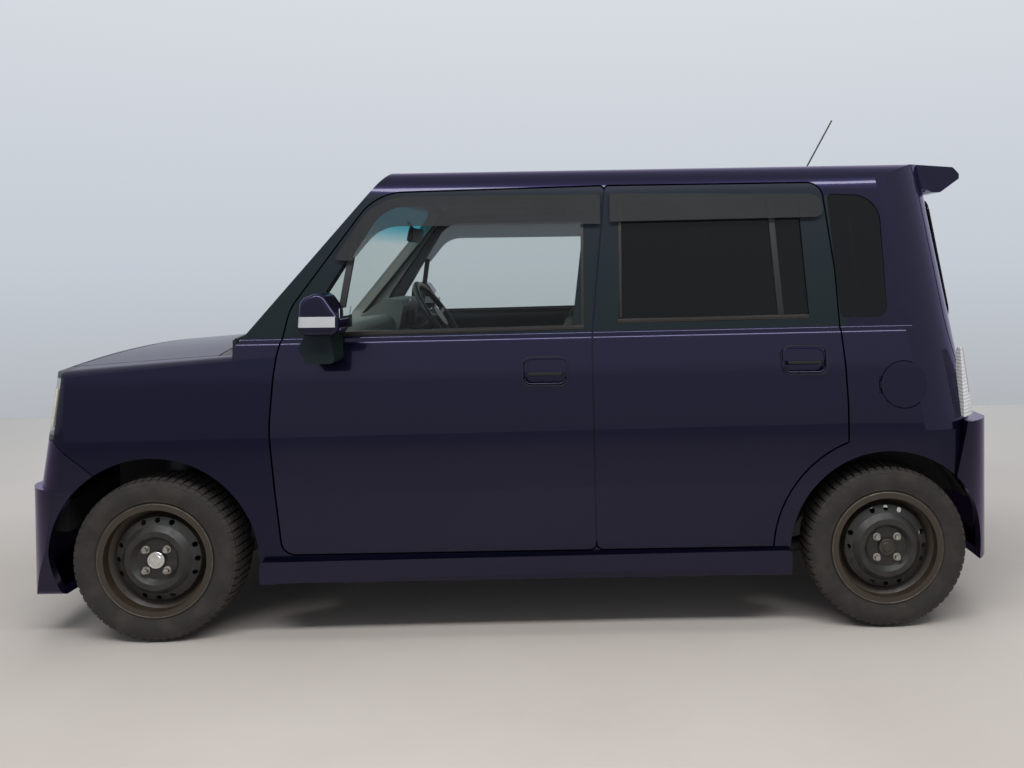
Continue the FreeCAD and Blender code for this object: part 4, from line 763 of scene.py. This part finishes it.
def seats(word, side):
    """A front seat on its base, with a head rest on two posts, and half of the rear back."""
    y = side * 0.3075
    pad(f"front_cushion_{word}", "front_seats", (0.150, y, 0.435), (0.212, 0.272, 0.078), cushion_lean,
        (-0.62, 0.62))
    pad(f"front_back_{word}", "front_seats", (-0.118, y, 0.690), (0.062, 0.262, 0.235), front_lean,
        (-0.60, 0.60))
    pad(f"front_headrest_{word}", "front_seats", (-0.187, y, 0.985), (0.045, 0.130, 0.075), front_lean,
        round_share=0.45)
    block_piece(f"front_seat_base_{word}", "black_trim", "root",
                (0.120, y, 0.312), (0.205, 0.235, 0.048), 0.02, 3)
    bm = bmesh.new()
    for shift in (-0.055, 0.055):
        bar(bm, ((-0.168, y + shift, 0.86), (-0.187, y + shift, 0.96)), (0.006, 0, 0), (0, 0.006, 0), 0.002)
    lay(bm, f"headrest_posts_{word}", "bright_metal", "root")
    pad(f"rear_back_{word}", "rear_seat", (-1.035, side * 0.262, 0.790), (0.058, 0.258, 0.240), rear_lean,
        (-0.5, 0.5))
    pad(f"rear_headrest_{word}", "rear_seat", (-1.098, side * 0.270, 0.990), (0.040, 0.125, 0.045), rear_lean,
        round_share=0.45)


vent_profile = ((0.0, 0.030), (-0.010, 0.031), (-0.014, 0.036), (-0.010, 0.041), (0.0, 0.041))
vent_x, vent_height, vent_sides = 0.602, 0.945, (-0.52, -0.085, 0.085, 0.52)
fin_x, fin_reach, fin_rises = 0.600, 0.026, (-0.016, 0.0, 0.016)
dial_profile = ((0.0, 0.0001), (0.0, 0.075), (-0.004, 0.075), (-0.002, 0.070), (-0.002, 0.0001))


def dash_fittings():
    """Round vents, the dial face behind its hood, and the inner mirror."""
    bm = bmesh.new()
    for y in vent_sides:
        turned(bm, vent_profile, (vent_x, y, vent_height), ahead_axis, 32)
        for rise in fin_rises:
            line = [(fin_x, y + reach, vent_height + rise) for reach in (-fin_reach, fin_reach)]
            bar(bm, line, (0, 0, 0.0015), (0.006, 0, 0))
    lay(bm, "dash_vents", "matte_black", "root")
    bm = bmesh.new()
    turned(bm, dial_profile, (0.590, -0.340, 1.045), ahead_axis, 48)
    lay(bm, "dial", "dial_face", "root")
    bm = bmesh.new()
    rounded_block(bm, Vector((0.485, 0, 1.392)), (0.011, 0.105, 0.030), 0.009, 3, leaning(-12))
    bar(bm, ((0.488, 0, 1.405), (0.515, 0, 1.452)), (0.006, 0, 0), (0, 0.008, 0), 0.002)
    lay(bm, "inner_mirror", "matte_black", "root")


for word, side in sides:
    seats(word, side)
pad("rear_cushion", "rear_seat", (-0.735, 0, 0.430), (0.200, 0.515, 0.090), cushion_lean, (-0.5, 0.0, 0.5))
dash_fittings()


# Floor, light and camera

floor_middle, floor_half = (0, 2.24, 0), (9.0, 5.76)
picture_width, picture_height = 1024, 768
film_width = 36.0
# Solved from the wheel centres, the ground line and the body's ends, in the picture's own pixels
focal_length, optical_centre = 813.98, (616.75, 278.34)
camera_eye = (-0.2789, 3.4793, 1.2682)
camera_yaw, camera_pitch, camera_roll = -0.0256, 0.0189, -0.0084


def stage_floor():
    """Pale floor, as wide as the hall and ending a little behind the car, painted paler with depth: painted
    light that brightens the floor behind the car.
    """
    bm = bmesh.new()
    place = Matrix.Translation(floor_middle) @ Matrix.Diagonal((*floor_half, 1, 1))
    bmesh.ops.create_grid(bm, x_segments=1, y_segments=1, size=1.0, matrix=place)
    mesh = bpy.data.meshes.new("floor_plane")
    bm.to_mesh(mesh)
    bm.free()
    obj = bpy.data.objects.new("floor_plane", mesh)
    scene.collection.objects.link(obj)
    material, tree, shader = new_material("pale_floor_with_painted_far_light")
    near = ramp(tree, noise(tree, 0.9, 6.0), [(0.3, (0.50, 0.455, 0.415)), (0.7, (0.57, 0.525, 0.485))])
    # Painted light: the floor's colour grows paler the farther it lies behind the car.
    depth = ramp(tree, times(tree, split(tree, "Object")[1], -0.30), [(0.0, black), (1.0, white)])
    feed(tree, shader.inputs["Base Color"], mix(tree, depth, near, (0.98, 0.95, 0.91)))
    shader.inputs["Roughness"].default_value = 0.6
    mesh.materials.append(material)


def area_light(name, place, aim, width, depth, power, mirrored):
    """A soft ceiling light; a light that isn't mirrored leaves no patch on the gloss."""
    data = bpy.data.lights.new(name, "AREA")
    data.shape = "RECTANGLE"
    data.size = width
    data.size_y = depth
    data.energy = power
    obj = bpy.data.objects.new(name, data)
    scene.collection.objects.link(obj)
    obj.location = place
    obj.rotation_euler = (Vector(aim) - Vector(place)).to_track_quat("-Z", "Y").to_euler()
    obj.visible_glossy = mirrored


def background():
    """Pale walls for what sees or mirrors them, and an even fill light for the rest."""
    world = bpy.data.worlds.new("hall")
    scene.world = world
    world.use_nodes = True
    tree = world.node_tree
    tree.nodes.clear()
    height = split(tree, "Generated")[2]
    wall = ramp(tree, maths(tree, "ADD", times(tree, height, 0.65), 0.35),
                [(0.247, (0.44, 0.46, 0.49)), (0.35, (0.56, 0.60, 0.66)), (0.542, (0.68, 0.71, 0.76)),
                 (0.70, (0.68, 0.71, 0.76)), (0.93, (0.52, 0.55, 0.60))])
    lights = []
    for colour, strength in (((0.90, 0.94, 1.0), 0.32), (wall, 1.0)):
        light = tree.nodes.new("ShaderNodeBackground")
        feed(tree, light.inputs["Color"], colour)
        light.inputs["Strength"].default_value = strength
        lights.append(light)
    path = tree.nodes.new("ShaderNodeLightPath")
    seen = maths(tree, "MAXIMUM", path.outputs["Is Camera Ray"], path.outputs["Is Glossy Ray"])
    seen = maths(tree, "MAXIMUM", seen, path.outputs["Is Transmission Ray"])
    blend = tree.nodes.new("ShaderNodeMixShader")
    tree.links.new(seen, blend.inputs["Fac"])
    for place, light in enumerate(lights, 1):
        tree.links.new(light.outputs[0], blend.inputs[place])
    output = tree.nodes.new("ShaderNodeOutputWorld")
    tree.links.new(blend.outputs[0], output.inputs["Surface"])


def photo_camera():
    """Camera at the photo's place: eye, turn, pitch and roll, and its off-centre picture."""
    ahead = Vector((math.sin(camera_yaw) * math.cos(camera_pitch),
                    -math.cos(camera_yaw) * math.cos(camera_pitch),
                    -math.sin(camera_pitch)))
    right = ahead.cross(Vector(up_axis)).normalized()
    up = right.cross(ahead)
    rolled_right = right * math.cos(camera_roll) + up * math.sin(camera_roll)
    rolled_up = up * math.cos(camera_roll) - right * math.sin(camera_roll)
    data = bpy.data.cameras.new("photo_camera")
    data.sensor_width = film_width
    data.lens = focal_length / picture_width * film_width
    data.shift_x = -(optical_centre[0] - picture_width / 2) / picture_width
    data.shift_y = (optical_centre[1] - picture_height / 2) / picture_width
    data.clip_end = 100.0
    obj = bpy.data.objects.new("photo_camera", data)
    scene.collection.objects.link(obj)
    place = Matrix((rolled_right, rolled_up, -ahead)).transposed().to_4x4()
    place.translation = Vector(camera_eye)
    obj.matrix_world = place
    scene.camera = obj


stage_floor()
background()
area_light("ceiling_near", (-0.2, 2.6, 3.6), (-0.2, 0.6, 0.8), 6.0, 0.5, 135, True)
area_light("ceiling_over", (0.0, 0.0, 4.2), (0.0, 0.0, 0.0), 6.0, 3.0, 110, False)
photo_camera()
scene.view_settings.view_transform = "Standard"
